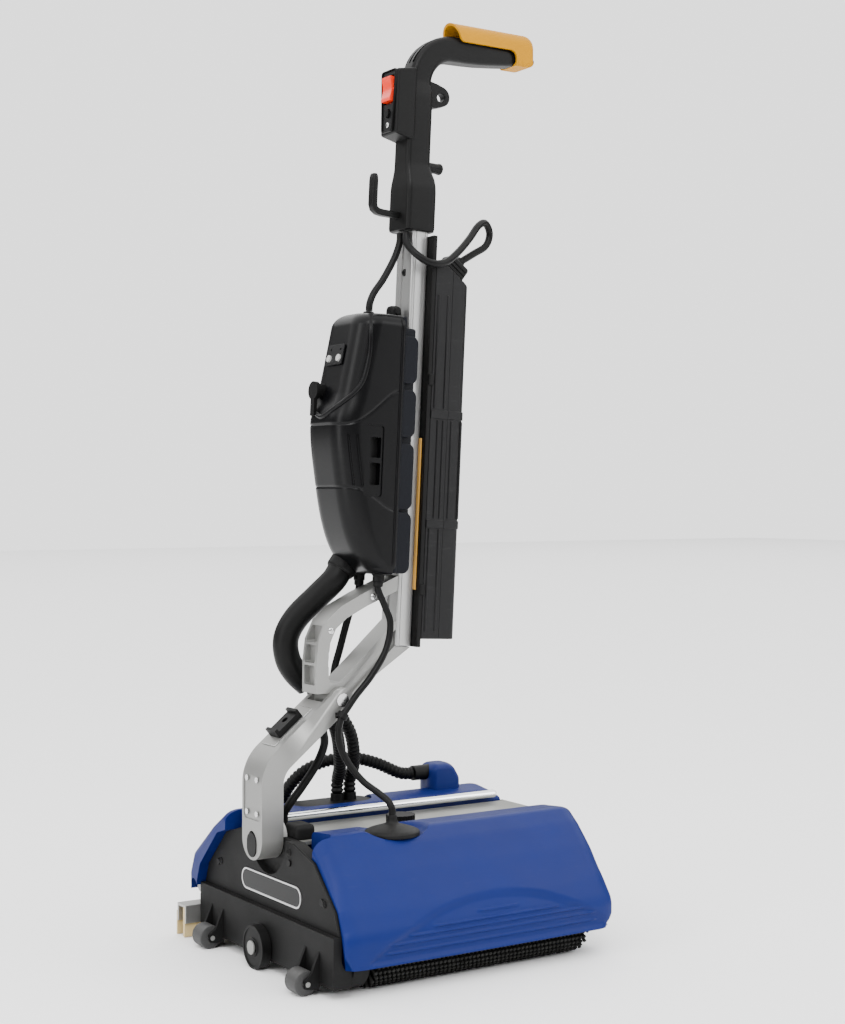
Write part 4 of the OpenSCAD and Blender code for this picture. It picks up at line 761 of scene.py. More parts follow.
def tankFace(x, z):
    edge = arch["top"] - arch["drop"] * ((x - arch["middle"]) / arch["half"]) ** 2
    press = ramp(z, edge, -arch["band"]) * ramp(z, arch["foot"], arch["footBand"])
    rise = 0
    for height, left, right in frontTank["ribs"]:
        across = abs(z - height) / frontTank["ribWidth"]
        if across < 1:
            blend = frontTank["ribFade"]
            fade = ramp(x, left, blend) * ramp(x, right, -blend)
            rise += frontTank["ribRise"] * (1 - across ** 2) ** frontTank["ribPower"] * fade
    return rise - arch["depth"] * press


def frontSpacing(p):  # close points behind the arch and the ribs
    low, high = frontTank["fineBand"]
    near = p[0] < frontTank["fineFace"] and low < p[1] < high
    return frontTank["fine"] if near else frontTank["coarse"]


side = spreadOutline(roundedOutline(frontTank["side"], frontTank["edge"], 8), frontSpacing)
normals = outlineNormals(side)
rings = []
low, high, corner = frontTank["low"], frontTank["high"], frontTank["corner"]
for x in endSteps(low, high, corner, frontTank["step"]):
    draw = drawnIn(x, low, high, corner, frontTank["pull"])
    bow = frontTank["sag"] * (x / high) ** 2
    ring = []
    for (y, z), n in zip(side, normals):
        front = n.x < frontTank["facing"]
        bowed = bow * ramp(y, *frontTank["bowY"]) * partly(frontTank["bowLeast"], ramp(z, *frontTank["bowZ"]))
        share = 1
        if front:  # the low front stays thick
            share = partly(frontTank["thickLeast"], ramp(z, *frontTank["thickZ"]))
        push = -draw * min(share, endRoom(x, y + bowed, z) / frontTank["pull"])
        if front and z < frontTank["faceTop"]:
            push += tankFace(x, z)
        turnIn = 0
        if y < frontTank["cornerFace"]:  # the low corners
            turnIn = ramp(z, *frontTank["cornerZ"]) * ramp(abs(x), *frontTank["cornerX"])
            turnIn *= frontTank["cornerPull"]
        ring.append(mm(x * (1 - turnIn), y + n.x * push + bowed, z + n.y * push))
    rings.append(ring)
tank = addSkin("frontTankShell", rings)
dish = addTurned("dish", frontTank["dish"])
cutAway(tank, tunnelCut(brushAxis["front"], *frontTank["tunnel"]), addBlock("under", *frontTank["under"]),
    shift(dish, at(*bungAt)), soften(addBlock("cornerNotch", *frontTank["notch"]), 7, 4),
    coverCut(), addPlate("capCut", capLine, ends["face"], ends["far"], "x"))
onHead(tank, "tankBlue", "front_tank", "tank", angle=62, flats=False)
print("front tank done")

# rear tank, with its inlet hump, cut round the bumper, the hose plate and the hose
rearTank = {"low": -205, "high": 173, "corner": 22, "pull": 13, "edge": 14, "step": 6,
    "side": [(50, 163), (93, 168.5), (128, 147, 60), (180, 107), (192, 79), (191, 34), (50, 70)],
    "hump": [(85, 130), (132, 130), (132, 180, 14), (120, 200, 20), (85, 200, 12)], "humpSpan": (77, 113, 14),
    "humpPull": 8, "humpStep": 4, "humpEdge": 9, "inlet": (95, 188), "inletBore": (75, 109, 10),
    "bumperEnd": -129, "bumper": (173.4, 62, 9.4), "bumperBack": 182.4, "tunnel": (-250, 200),
    "oval": ((-119, 68), (-1, 116), 24), "ovalDepth": (162, 200), "armRoom": ((-250, 0, 0), (-183, 86, 200)),
    "under": ((-250, 0, 0), (250, 250, 57)), "hoseGroove": ((-102, 166, 0), (-78, 220, 128))}
side = spreadOutline(roundedOutline(rearTank["side"], rearTank["edge"], 8), lambda p: rearTank["step"])
normals = outlineNormals(side)
rings = []
low, high, corner = rearTank["low"], rearTank["high"], rearTank["corner"]
for x in endSteps(low, high, corner, rearTank["step"]):
    pull = drawnIn(x, low, high, corner, rearTank["pull"])
    ring = []
    for (y, z), n in zip(side, normals):
        draw = pull * min(1, endRoom(x, y, z) / rearTank["pull"])
        ring.append(mm(x, y - n.x * draw, z - n.y * draw))
    rings.append(ring)
tank = addSkin("rearTankShell", rings)
humpSide = roundedOutline(rearTank["hump"], rearTank["humpEdge"], 8)
normals = outlineNormals(humpSide)
rings = []
for y in endSteps(*rearTank["humpSpan"], rearTank["humpStep"]):
    pull = drawnIn(y, *rearTank["humpSpan"], rearTank["humpPull"])
    rings.append([mm(x - n.x * pull, y, z - n.y * pull) for (x, z), n in zip(humpSide, normals)])
cutAway(tank, addSkin("inlet", rings), operation="UNION")
oval = boxOutline(*rearTank["oval"], 10)
far, bumperEnd, (bumperY, bumperZ, bumperR) = -ends["far"], rearTank["bumperEnd"], rearTank["bumper"]
(inletY, inletZ), (boreStart, boreStop, boreR) = rearTank["inlet"], rearTank["inletBore"]
cutAway(tank, tunnelCut(brushAxis["rear"], *rearTank["tunnel"]),
    addPlate("ovalCut", oval, *rearTank["ovalDepth"], "z"), coverCut(),
    addBlock("armRoom", *rearTank["armRoom"]),
    addRod("bumperCut", (far, bumperY, bumperZ), (bumperEnd, bumperY, bumperZ), bumperR),
    addBlock("bumperRoom", (far, 0, 0), (bumperEnd, rearTank["bumperBack"], bumperZ)),
    addRod("inletBore", (boreStart, inletY, inletZ), (boreStop, inletY, inletZ), boreR),
    addBlock("under", *rearTank["under"]), addBlock("hoseGroove", *rearTank["hoseGroove"]))
soften(tank, 1.2, 2, 50)
onHead(tank, "tankBlue", "rear_tank", "tank")
print("rear tank done")


# how the remaining pieces are laid out: spots on the leaning pole, bars that keep level with Y, and screws
def poleSpot(x, z):
    lean = math.radians(poleLean)
    return Vector((poleFoot[0] + x * math.cos(lean) + z * math.sin(lean), 0,
        poleFoot[2] - x * math.sin(lean) + z * math.cos(lean)))


def barSection(halfA, halfB, radius):
    return boxOutline((-halfA, -halfB), (halfA, halfB), radius, 5)


def addBar(name, points, sections):  # a bar along points in the X-Z plane, one rounded section to a point
    rings = []
    level = Vector((0, 1, 0))
    for i, p in enumerate(points):
        up = level.cross(aheadAt(points, i))
        rings.append([(p + up * a + level * b) / 1000 for a, b in sections[i]])
    return addSkin(name, rings)


def addScrew(name, radius, rise):  # a domed head with a cross slot, standing on the X-Y plane
    head = addTurned(name, [(0, 0), (radius, 0), (radius, rise * 0.4), (radius * 0.8, rise * 0.85),
        (radius * 0.4, rise), (0, rise)], 24)
    long, wide, low, high = radius * 0.62, 0.45, rise * 0.45, rise + 1
    return cutAway(head, addBlock("slotA", (-long, -wide, low), (long, wide, high)),
        addBlock("slotB", (-wide, -long, low), (wide, long, high)))


def addScrews(name, radius, rise, places):  # one screw, copied to each place
    screw = addScrew("screwHead", radius, rise)
    screws = [shift(copyPiece(screw, "screw"), place) for place in places]
    bpy.data.objects.remove(screw)
    return mergePieces(name, screws)


# vacuum box: a skin over level sections, with its seams, ridges and vents
box = {"face": [(-56, 31), (-79, 54), (-94, 85), (-106, 133), (-117, 207), (-108, 243), (-91, 340)],
    "seam": -36, "half": 46, "corner": 27, "foot": 31, "footRound": 10, "footPull": 6,
    "top": 340, "topRound": 16, "topShare": 0.85,
    "seams": [(205, 249), (132, 107)], "seamDepth": 0.9, "seamWidth": 1.6, "seamPower": 1.3, "seamStart": 4,
    "frontSteps": 5, "cornerSteps": 20, "sideSteps": 30,
    "vents": [(136, 162), (168, 192)], "ventX": (-74, -60), "ventEdge": 1.2, "ventDepth": (-47, -34),
    "ventFrame": ((-82, 122), (-57, 206), 4), "frameDepth": (-47, -44.6), "backDepth": (-36.5, -34.5),
    "backRim": 1, "lipHalf": 47.6, "lipCorner": 15, "lipDepth": (-38.6, -33.4),
    "slits": (0.72, 0.92), "slitRadius": 1.5, "slitSpan": (134, 196, 4)}


def boxFace(z):
    points = box["face"]
    k = max(i for i in range(len(points) - 1) if points[i][1] <= max(z, points[0][1]))
    (x0, z0), (x1, z1) = points[k], points[k + 1]
    before = points[k - 1] if k else (x0 - (x1 - x0), z0 - (z1 - z0))
    after = points[k + 2] if k + 2 < len(points) else (x1 + x1 - x0, z1 + z1 - z0)
    m0 = (x1 - before[0]) / (z1 - before[1]) * (z1 - z0)
    m1 = (after[0] - x0) / (after[1] - z0) * (z1 - z0)
    t = (z - z0) / (z1 - z0)
    share = 3 * t ** 2 - 2 * t ** 3
    return (1 - share) * x0 + (t ** 3 - 2 * t ** 2 + t) * m0 + share * x1 + (t ** 3 - t ** 2) * m1


def boxSection(z, pull):  # half a section, from the front middle round to the seam
    face, half = boxFace(z) + pull, box["half"] - pull
    r = min(box["corner"], half - 2, box["seam"] - face - 1)
    flat = half - r
    run = [(face, flat * k / box["frontSteps"]) for k in range(box["frontSteps"])]
    for k in range(box["cornerSteps"] + 1):
        turn = math.radians(90 * k / box["cornerSteps"])
        run.append((face + r - r * math.cos(turn), flat + r * math.sin(turn)))
    start, count = face + r, box["sideSteps"]
    return run + [(start + (box["seam"] - start) * k / count, half) for k in range(1, count + 1)]


def boxRing(z):
    pull = roundOver(max(0, (box["top"] - z) / box["topRound"]), box["topRound"] * box["topShare"])
    pull += roundOver(max(0, (z - box["foot"]) / box["footRound"]), box["footPull"])
    half = boxSection(z, pull)
    first = boxFace(z) + box["seamStart"]
    ring = []
    for i, (x, y) in enumerate(half):
        back = ramp(x, first, box["seam"] - first)
        dip = 0
        for front, rear in box["seams"]:
            away = abs(z - (front + (rear - front) * back ** box["seamPower"]))
            dip += box["seamDepth"] * max(0, 1 - away / box["seamWidth"])
        a, b = half[max(i - 1, 0)], half[min(i + 1, len(half) - 1)]
        run = Vector((b[0] - a[0], b[1] - a[1])) if i else Vector((0, 1))
        out = Vector((-run.y, run.x)).normalized() if run.length else Vector((-1, 0))
        ring.append((x - out.x * dip, y - out.y * dip))
    return ring


def boxSpot(z, around):  # on the box's left; around is 0 at the front middle and 1 at the corner's end
    last = box["frontSteps"] + box["cornerSteps"]
    ring = boxRing(z)
    place = around * last
    k = min(int(place), last - 1)
    x, y = Vector(ring[k]).lerp(Vector(ring[k + 1]), place - k)
    return Vector((x, -y, z))


rings = []
for z in range(box["foot"], box["top"] + 1):
    ring = boxRing(z)
    rings.append([mm(x, y, z) for x, y in ring] + [mm(x, -y, z) for x, y in reversed(ring[1:])])
boxCover = addSkin("vacuumBoxCover", rings)
vents = [addPlate("ventFrameCut", boxOutline(*box["ventFrame"], 5), *box["frameDepth"], "y")]
left, right = box["ventX"]
for low, high in box["vents"]:
    vent = boxOutline((left, low), (right, high), box["ventEdge"], 3)
    vents.append(addPlate("ventCut", vent, *box["ventDepth"], "y"))
slit = circleOutline(box["slitRadius"], 10)
for around in box["slits"]:
    line = [boxSpot(z, around) for z in range(*box["slitSpan"])]
    vents.append(addSkin("slitCut", sweptRings(line, lambda i: slit)))
cutAway(boxCover, *vents)
onPole(boxCover, "glossBlack", "box_cover", "box", angle=30, flats=False)

ridge = {"line": [(337, 0.66), (318, 0.76), (290, 0.84), (260, 0.82), (244, 0.70), (233, 0.52), (224, 0.32),
    (217, 0.12), (214, 0.0)], "radius": 3.0, "rings": 150}
spots = [boxSpot(z, around) for z, around in ridge["line"]]
mirrored = [Vector((p.x, -p.y, p.z)) for p in reversed(spots[:-1])]
line = evenPoints(easeRoute(spots + mirrored), ridge["rings"])[0]
circle = circleOutline(ridge["radius"], 10)
boxRidge = addSkin("boxRidge", sweptRings(line, lambda i: circle))
onPole(boxRidge, "glossBlack", "box_cover", "box", angle=60, flats=False)
backs = []
rim, (backLow, backHigh) = box["backRim"], box["backDepth"]
for low, high in box["vents"]:
    back = addBlock("ventBack", (left - rim, backLow, low - rim), (right + rim, backHigh, high + rim))
    backs.append(soften(back, 0.4, 2))
onPole(mergePieces("ventBacks", backs), "hoseRubber", "box_cover", "box")
half = box["lipHalf"]
lip = boxOutline((-half, box["foot"]), (half, box["top"]), box["lipCorner"], 8)
lip = addPlate("boxLip", lip, *box["lipDepth"], "x")
onPole(soften(lip, 1.6, 3, 40), "glossBlack", "box_cover", "box")

boxBack = {"lobes": [(33, 106), (109, 188), (195, 252), (259, 316)], "inner": -33, "outer": -11.2, "half": 42,
    "plate": ((-36, -45.6, 33), (-31, 45.6, 338)), "core": ((-32, -35, 40), (-11, 35, 326)),
    "stud": ((-23, 0, 325), (-23, 0, 346), 3)}
lobes = [soften(addBlock("backPlate", *boxBack["plate"]), 2, 3),
    soften(addBlock("backCore", *boxBack["core"]), 3, 3)]
inner, outer, half = boxBack["inner"], boxBack["outer"], boxBack["half"]
for low, high in boxBack["lobes"]:
    lobe = roundedOutline([(inner, low, 2), (outer, low), (outer, high), (inner, high, 2)], 9, 6)
    lobes.append(soften(addPlate("lobe", lobe, -half, half, "y"), 5, 4, 50))
lobes.append(addRod("knobStud", *boxBack["stud"], 24))
onPole(mergePieces("boxRear", lobes), "backBlue", "box_back", "box")

fittings = {
    "stub": [(0, -15), (4.6, -15), (5.6, -14.4), (6, -13), (6, -9), (7, -8), (7, -2), (8.6, 0), (9, 2),
        (0, 2)],
    "boot": [(0, -3), (9, -3), (8.6, 0), (7.4, 1.2), (7.6, 2), (6.6, 3), (6.8, 3.8), (5.8, 4.8), (0, 5)],
    "latchSeat": [(0, 0), (9, 0), (9, 11), (8, 13), (0, 13)],
    "cuff": [(0, -24), (18, -24), (18, -4), (17, -1.4), (16, -0.6), (0, -0.6)],
    "lamp": [(0, 0), (1.6, 0), (1.5, 0.7), (0.9, 1.1), (0, 1.2)],
    "stubX": -42, "stubY": (-22, 22), "bootX": -58, "seatSpot": (-114.6, 18, 246, 90),
    "cuffSpot": (-84, 24, 453, 217)}
trims = [shift(addTurned("stub", fittings["stub"], 32), at(fittings["stubX"], y, box["foot"]))
    for y in fittings["stubY"]]
trims.append(shift(addTurned("cableBoot", fittings["boot"], 32), at(fittings["bootX"], 0, box["top"])))
trims.append(shift(addTurned("latchSeat", fittings["latchSeat"], 40), at(*fittings["seatSpot"])))
onPole(mergePieces("boxFittings", trims), "softBlack", "box_cover", "box")
cuff = addTurned("elbowCuff", fittings["cuff"])
settle(cuff, headPlace @ at(*fittings["cuffSpot"]), "handle", "softBlack", ["box_cover"], "box")
keyPanel = {"spot": (-99.5, 0, 288, 10), "outline": ((-18.5, -12), (18.5, 13), 2.5), "depth": (-3, -1),
    "across": (-11, 11), "keyZ": -4, "keyRoom": (-20, 10, 4.6), "lampX": -2.9, "lampZ": 7}
panelSpot = at(*keyPanel["spot"])
panel = addPlate("controlPanel", boxOutline(*keyPanel["outline"], 5), *keyPanel["depth"], "x")
start, stop, radius = keyPanel["keyRoom"]
panelLamps = []
for y in keyPanel["across"]:
    cutAway(panel, addRod("keyHole", (start, y, keyPanel["keyZ"]), (stop, y, keyPanel["keyZ"]), radius))
    lamp = addTurned("lamp", fittings["lamp"], 20)
    panelLamps.append(shift(lamp, at(keyPanel["lampX"], y, keyPanel["lampZ"], -90)))
onPole(soften(panel, 0.5, 2), "panelGrey", "control_panel", "dark_plastic", panelSpot)
onPole(mergePieces("panelLamps", panelLamps), "hoseRubber", "control_panel", "dark_plastic", panelSpot)
print("vacuum box done")

# battery: two half shells with long ridges, the plate's hooks beside the pole, a strip and the plug's hood
for name, node in (("batteryInner", "battery_inner_shell"), ("batteryOuter", "battery_outer_shell")):
    dressSolid(name, node, "batteryGrey", "battery", 4.2, 4)
battery = {"ridges": [(22, -36, 88), (36, -36, 88), (28, 101, 220), (36, 101, 220), (48, 101, 220),
    (62, 101, 220), (22, 234, 372), (36, 234, 372)], "face": -30, "ridgeRadius": 1.5,
    "hooks": (14, 268), "hookHalf": 7, "hookX": (11.5, 20), "hookY": (-32, -19),
    "tab": ((11.5, -20.5, 318), (15, -18.6, 330)), "strip": ((8.8, -23.3, 14), (11.3, -18.6, 197)),
    "hoodHalf": 12.5, "hoodX": (9, 40), "hoodZ": (0.6, 27), "grooves": (8, 13, 18), "grooveX": (5, 44),
    "grooveDeep": 1, "grooveWide": 2, "hoodSpot": (30, 0, 411, 35.1)}
ridges = []
for x, low, high in battery["ridges"]:
    bar = addRod("ridge", (x, battery["face"], low), (x, battery["face"], high), battery["ridgeRadius"], 12)
    ridges.append(soften(bar, 0.8, 2))
onPole(mergePieces("batteryRidges", ridges), "batteryGrey", "battery_inner_shell", "battery")
hooks = []
(x0, x1), (y0, y1), half = battery["hookX"], battery["hookY"], battery["hookHalf"]
for z in battery["hooks"]:
    hooks.append(soften(addBlock("hook", (x0, y0, z - half), (x1, y1, z + half)), 2, 3))
hooks.append(soften(addBlock("tab", *battery["tab"]), 0.6, 2))
onPole(mergePieces("batteryHooks", hooks), "softBlack", "battery_plate", "battery")
strip = soften(addBlock("edgeStrip", *battery["strip"]), 0.5, 2)
settle(strip, polePlace, "handle", "ochreStrip")
(x0, x1), (z0, z1), half = battery["hoodX"], battery["hoodZ"], battery["hoodHalf"]
hood = soften(addBlock("plugHood", (x0, -half, z0), (x1, half, z1)), 4, 4)
(x0, x1), deep, wide = battery["grooveX"], battery["grooveDeep"], battery["grooveWide"]
for wall in (-half, half):
    for z in battery["grooves"]:
        cutAway(hood, addBlock("finger", (x0, wall - deep, z), (x1, wall + deep, z + wide)))
onPole(hood, "softBlack", "battery_plug", "battery", at(*battery["hoodSpot"]))
print("battery done")

# pole: an extrusion with a shallow channel in each visible face
poleShape = {"tube": ((-11, -18, -55), (11, 18, 480)), "edge": 2.2,
    "channel": ((-12, -5, -60), (-9.6, 5, 490)), "grooves": (-6.5, 6.5), "grooveHalf": 0.7,
    "grooveY": (-19, -17.3), "grooveZ": (-60, 490), "screwSpot": (-9.7, 0, 398, -90)}
pole = soften(addBlock("poleTube", *poleShape["tube"]), poleShape["edge"], 3)
cutAway(pole, addBlock("channel", *poleShape["channel"]))
(y0, y1), (z0, z1), half = poleShape["grooveY"], poleShape["grooveZ"], poleShape["grooveHalf"]
for x in poleShape["grooves"]:
    cutAway(pole, addBlock("groove", (x - half, y0, z0), (x + half, y1, z1)))
onPole(pole, "satinAlloy", "pole", "aluminium")
onPole(addScrew("poleScrew", 4.6, 1.6), "softBlack", "pole", "aluminium", at(*poleShape["screwSpot"]))
print("pole done")

# column: one bar from the pole's socket over the bend to the neck, and what is fixed to it
column = {  # rings and neck: along, up, half across, half deep
    "rings": [(-2.5, 447, 18.5, 20), (-2.5, 448.2, 20.4, 22.4), (-2.4, 452, 21, 23), (-2.4, 496, 21, 23),
        (-2.6, 503, 20.8, 22.6), (-3.2, 510, 20.2, 21.4), (-4.4, 518, 18.8, 19), (-5.2, 525, 17.7, 17.2),
        (-5.5, 531, 17.5, 16.7), (-5.5, 545, 17.5, 16.5), (-5.5, 580, 17.5, 16.6), (-5.5, 610, 17.2, 16.8),
        (-5.5, 622, 16.6, 16.2)],
    "neck": [(80, 1095, 15, 14), (100, 1095.5, 14.5, 14), (126, 1096.2, 12.6, 14), (150, 1097, 10.6, 13.8),
        (168, 1098.3, 9, 13.4), (173, 1098.8, 7.4, 12)],
    "bend": (61, 1045, 50), "bendHalves": (15.4, 14.4), "round": 7, "socketRound": 6,
    "slots": (-8, 0, 8), "slotHalf": 1.8, "slotInner": 62.4, "slotOuter": 70}
bendX, bendZ, bendR = column["bend"]


def bendSpot(radius, turn):
    return bendX + radius * math.cos(math.radians(turn)), bendZ + radius * math.sin(math.radians(turn))


points = [poleSpot(x, z) for x, z, a, b in column["rings"]]
sections = [barSection(a, b, column["socketRound"]) for x, z, a, b in column["rings"]]
for x, z in [bendSpot(bendR, turn) for turn in range(180, 89, -6)]:
    points.append(Vector((x, 0, z)))
    sections.append(barSection(*column["bendHalves"], column["round"]))
points += [Vector((x, 0, z)) for x, z, a, b in column["neck"]]
sections += [barSection(a, b, min(column["round"], a - 0.5)) for x, z, a, b in column["neck"]]
body = addBar("handleColumn", points, sections)
arc = [bendSpot(column["slotInner"], turn) for turn in range(112, 159, 4)]
arc += [bendSpot(column["slotOuter"], turn) for turn in range(156, 111, -4)]
for y in column["slots"]:
    cutAway(body, addPlate("slot", arc, y - column["slotHalf"], y + column["slotHalf"], "y"))
settle(body, headPlace, "handle", "satinBlack", ["handle_column"], "dark_plastic", angle=40)
switch = {"housing": [(-42, 562), (-14, 556), (-14, 646), (-42, 640)], "low": 564, "high": 640, "lowHalf": 12,
    "highHalf": 16.8, "rim": 1.8, "rocker": ((-50, -11, 599), (-30, 11, 633)),
    "button": ((-50, 0, 587), (-28, 0, 587), 5.5), "housingHalf": 18, "corner": 4, "rimDepth": (-45, -41),
    "roomDepth": (-50, -30), "plateInset": 2, "plateDepth": (-43.2, -41), "screwSpot": (-43.2, 0, 573, -90)}


def switchRooms():
    return addBlock("rockerRoom", *switch["rocker"]), addRod("buttonRoom", *switch["button"])


def switchOutline(inset):  # wide at the top, narrower at the foot
    foot, top = switch["lowHalf"] - inset, switch["highHalf"] - inset
    low, high = switch["low"] + inset, switch["high"] - inset
    corners = [(-foot, low), (foot, low), (top, high), (-top, high)]
    return roundedOutline(corners, switch["corner"] - inset / 2, 6)


half = switch["housingHalf"]
housing = addPlate("switchHousing", roundedOutline(switch["housing"], 3, 4), -half, half, "y")
soften(housing, 3, 4, 40)
onPole(cutAway(housing, *switchRooms()), "satinBlack", "handle_column", "dark_plastic")
rim = addPlate("switchRim", switchOutline(0), *switch["rimDepth"], "x")
cutAway(rim, addPlate("rimRoom", switchOutline(switch["rim"]), *switch["roomDepth"], "x"))
onPole(soften(rim, 0.7, 2, 40), "satinBlack", "switch_panel", "dark_plastic")
plate = addPlate("switchPlate", switchOutline(switch["plateInset"]), *switch["plateDepth"], "x")
cutAway(plate, *switchRooms())
onPole(soften(plate, 0.4, 2, 40), "panelGrey", "switch_panel", "dark_plastic")
plateScrew = addScrew("plateScrew", 3.2, 1.2)
onPole(plateScrew, "brightSteel", "switch_panel", "dark_plastic", at(*switch["screwSpot"]))

hook = {"line": [(-18, 466), (-46, 466), (-53, 467), (-57.5, 470), (-59, 475), (-59, 504),
    (-59, 509), (-59, 511.6)], "halves": [(4, 6)] * 6 + [(3.6, 5.6), (2.8, 4.6)], "round": 2.6}
hookBar = addBar("hookBar", [Vector((x, 0, z)) for x, z in hook["line"]],
    [barSection(a, b, hook["round"]) for a, b in hook["halves"]])
onPole(hookBar, "satinBlack", "handle_column", "dark_plastic", angle=50)
eye = {"side": [(14, 1022), (36, 1020, 12), (57, 1026, 13), (57, 1044, 13), (40, 1050, 10), (14, 1056)],
    "half": 6, "hole": ((44, -20, 1034), (44, 20, 1034), 5.4)}
lug = addPlate("hangingEye", roundedOutline(eye["side"], 3, 7), -eye["half"], eye["half"], "y")
cutAway(lug, addRod("eyeHole", *eye["hole"]))
settle(soften(lug, 1.4, 3, 40), headPlace, "handle", "satinBlack", ["handle_column"], "dark_plastic")
cordPeg = {"profile": [(0, -2), (8.4, -2), (8.4, 0), (7, 1), (6.4, 3), (6.4, 18), (7, 20), (7, 22.6), (6, 24),
    (3, 24), (2.6, 22.5), (0, 22.5)], "spot": (12, 0, 531, 90)}
peg = addTurned("cordPeg", cordPeg["profile"], 36)
onPole(peg, "satinBlack", "handle_column", "dark_plastic", at(*cordPeg["spot"]))
clamp = {"profile": [(0, 0), (7, 0), (8.6, 1.4), (9, 4), (9, 10), (8, 13), (5, 14.4), (0, 14.6)], "sides": 10,
    "bar": ((-3.6, -11, 3), (3.6, 11, 12.6)), "spot": (-23, 0, 341)}
wing = addTurned("clampWing", clamp["profile"], clamp["sides"])
soften(wing, 0.8, 2, 25)
wing = mergePieces("clampWing", [wing, soften(addBlock("bar", *clamp["bar"]), 2.6, 3)])
settle(wing, polePlace @ at(*clamp["spot"]), "clamp_knob", "softBlack", ["clamp_knob"], "dark_plastic")
print("column done")

# brushes: a pair of tufts, repeated along the core and then round it
brush = {"tuft": [(0, 16.5), (1.5, 16.5), (1.5, 24), (1.9, 31), (2.3, 35.4), (0, 36)], "sides": 5,
    "along": 52, "pairs": 16, "half": 146, "turn": 11.25}
pitch = 2 * brush["half"] / (brush["along"] - 0.5)
for name, y, node, body in (("frontBrushTufts", brushAxis["front"], "front_bristles", "front_brush"),
        ("rearBrushTufts", brushAxis["rear"], "rear_bristles", "rear_brush")):
    tuft = addTurned(name, brush["tuft"], brush["sides"])
    shift(tuft, at(-brush["half"], 0, 0))
    nextRow = Matrix.Rotation(math.radians(brush["turn"]), 4, "X") @ at(pitch / 2, 0, 0)
    tuft = mergePieces(name, [tuft, shift(copyPiece(tuft, "second"), nextRow)])
    useModifier(tuft, "ARRAY", count=brush["along"], use_relative_offset=False, use_constant_offset=True,
        constant_offset_displace=mm(pitch, 0, 0))
    restMode()
    bpy.ops.object.empty_add(location=(0, 0, 0), rotation=(2 * math.pi / brush["pairs"], 0, 0))
    turner = bpy.context.object
    useModifier(tuft, "ARRAY", count=brush["pairs"], use_relative_offset=False, use_object_offset=True,
        offset_object=turner)
    bpy.data.objects.remove(turner)
    settle(tuft, headPlace @ at(0, y, brushAxis["height"]), body, "bristleBlack", [node], "bristle", angle=50,
        flats=False)
print("brushes done")

# left cover: the softened solid with a raised edge, a bare plate and screws
cover = {"edge": [(-163.4, 70), (-154.6, 92), (-107.6, 137.6), (-62, 151.4)], "edgeRadius": 1.3,
    "edgeRings": 60, "edgeX": -192.4, "plate": (-8, 93, 72, 12.5), "screwX": -192.9,
    "border": 1.7, "borderDepth": (-194.1, -192), "roomDepth": (-200, -193.4), "bareInset": 2.2,
    "bareDepth": (-193.9, -192), "screws": [(120, 101), (-52, 141), (-132, 98)]}
dressSolid("leftCover", "left_cover", "coverBlack", "cover", 1.6, 3)
line = evenPoints([Vector((cover["edgeX"], y, z)) for y, z in cover["edge"]], cover["edgeRings"])[0]
edgeCircle = circleOutline(cover["edgeRadius"], 8)
edge = addSkin("coverEdge", sweptRings(line, lambda i: edgeCircle))
onHead(edge, "coverBlack", "left_cover", "cover", angle=60, flats=False)


def plateOutline(inset):
    y, z, halfY, halfZ = cover["plate"]
    a, b = halfY - inset, halfZ - inset
    return boxOutline((y - a, z - b), (y + a, z + b), b - 0.5, 8)


border = addPlate("plateBorder", plateOutline(0), *cover["borderDepth"], "x")
cutAway(border, addPlate("plateRoom", plateOutline(cover["border"]), *cover["roomDepth"], "x"))
onHead(soften(border, 0.3, 2, 50), "silverLine", "left_cover", "cover")
plate = addPlate("barePlate", plateOutline(cover["bareInset"]), *cover["bareDepth"], "x")
onHead(soften(plate, 0.3, 2, 50), "glossBlack", "left_cover", "cover")
screwPlaces = [at(cover["screwX"], y, z, -90) for y, z in cover["screws"]]


def paintFaces(piece, finish, chosen):  # a second finish on faces chosen by middle, in mm, and area
    piece.data.materials.append(finishes[finish])
    for face in piece.data.polygons:
        face.material_index = int(chosen(headPlace.inverted() @ face.center * 1000, face.area))


# the solid's own cover screws are dark too
paintFaces(bpy.data.objects["pins"], "softBlack", lambda p, area: p.x < -185 and p.z > 75 and abs(p.y) > 30)
onHead(addScrews("coverScrews", 4.2, 1.8, screwPlaces), "softBlack", "left_cover", "cover")
print("left cover done")

# arm and frame: softened solids with a rimmed face, a ribbed channel and a rounded foot to the window
castings = {"face": ((-20.5, 172), (20.5, 222)), "faceDepth": (-216, -212.4), "seatArea": 4e-4,
    "pockets": [(322.5, 345.5, -131), (348.5, 369.5, -129.5), (372.5, 392, -124)], "pocketHalf": 12.5,
    "windowFoot": [(-121.4, 362), (-121.4, 325.5, 5), (-107.4, 325.2, 4), (-79.6, 349.6), (-79.6, 362)],
    "screwY": -16.9, "screws": [(-118, 386), (-60, 424)]}
arm = shift(rawCopy("armCasting", "arm"), headPlace.inverted())
cutAway(arm, addPlate("faceCut", boxOutline(*castings["face"], 5, 5), *castings["faceDepth"], "x"))
soften(arm, 1.6, 3, castAngle)
settle(arm, headPlace, "arm", "castAlloy", ["arm"], "aluminium", angle=40)
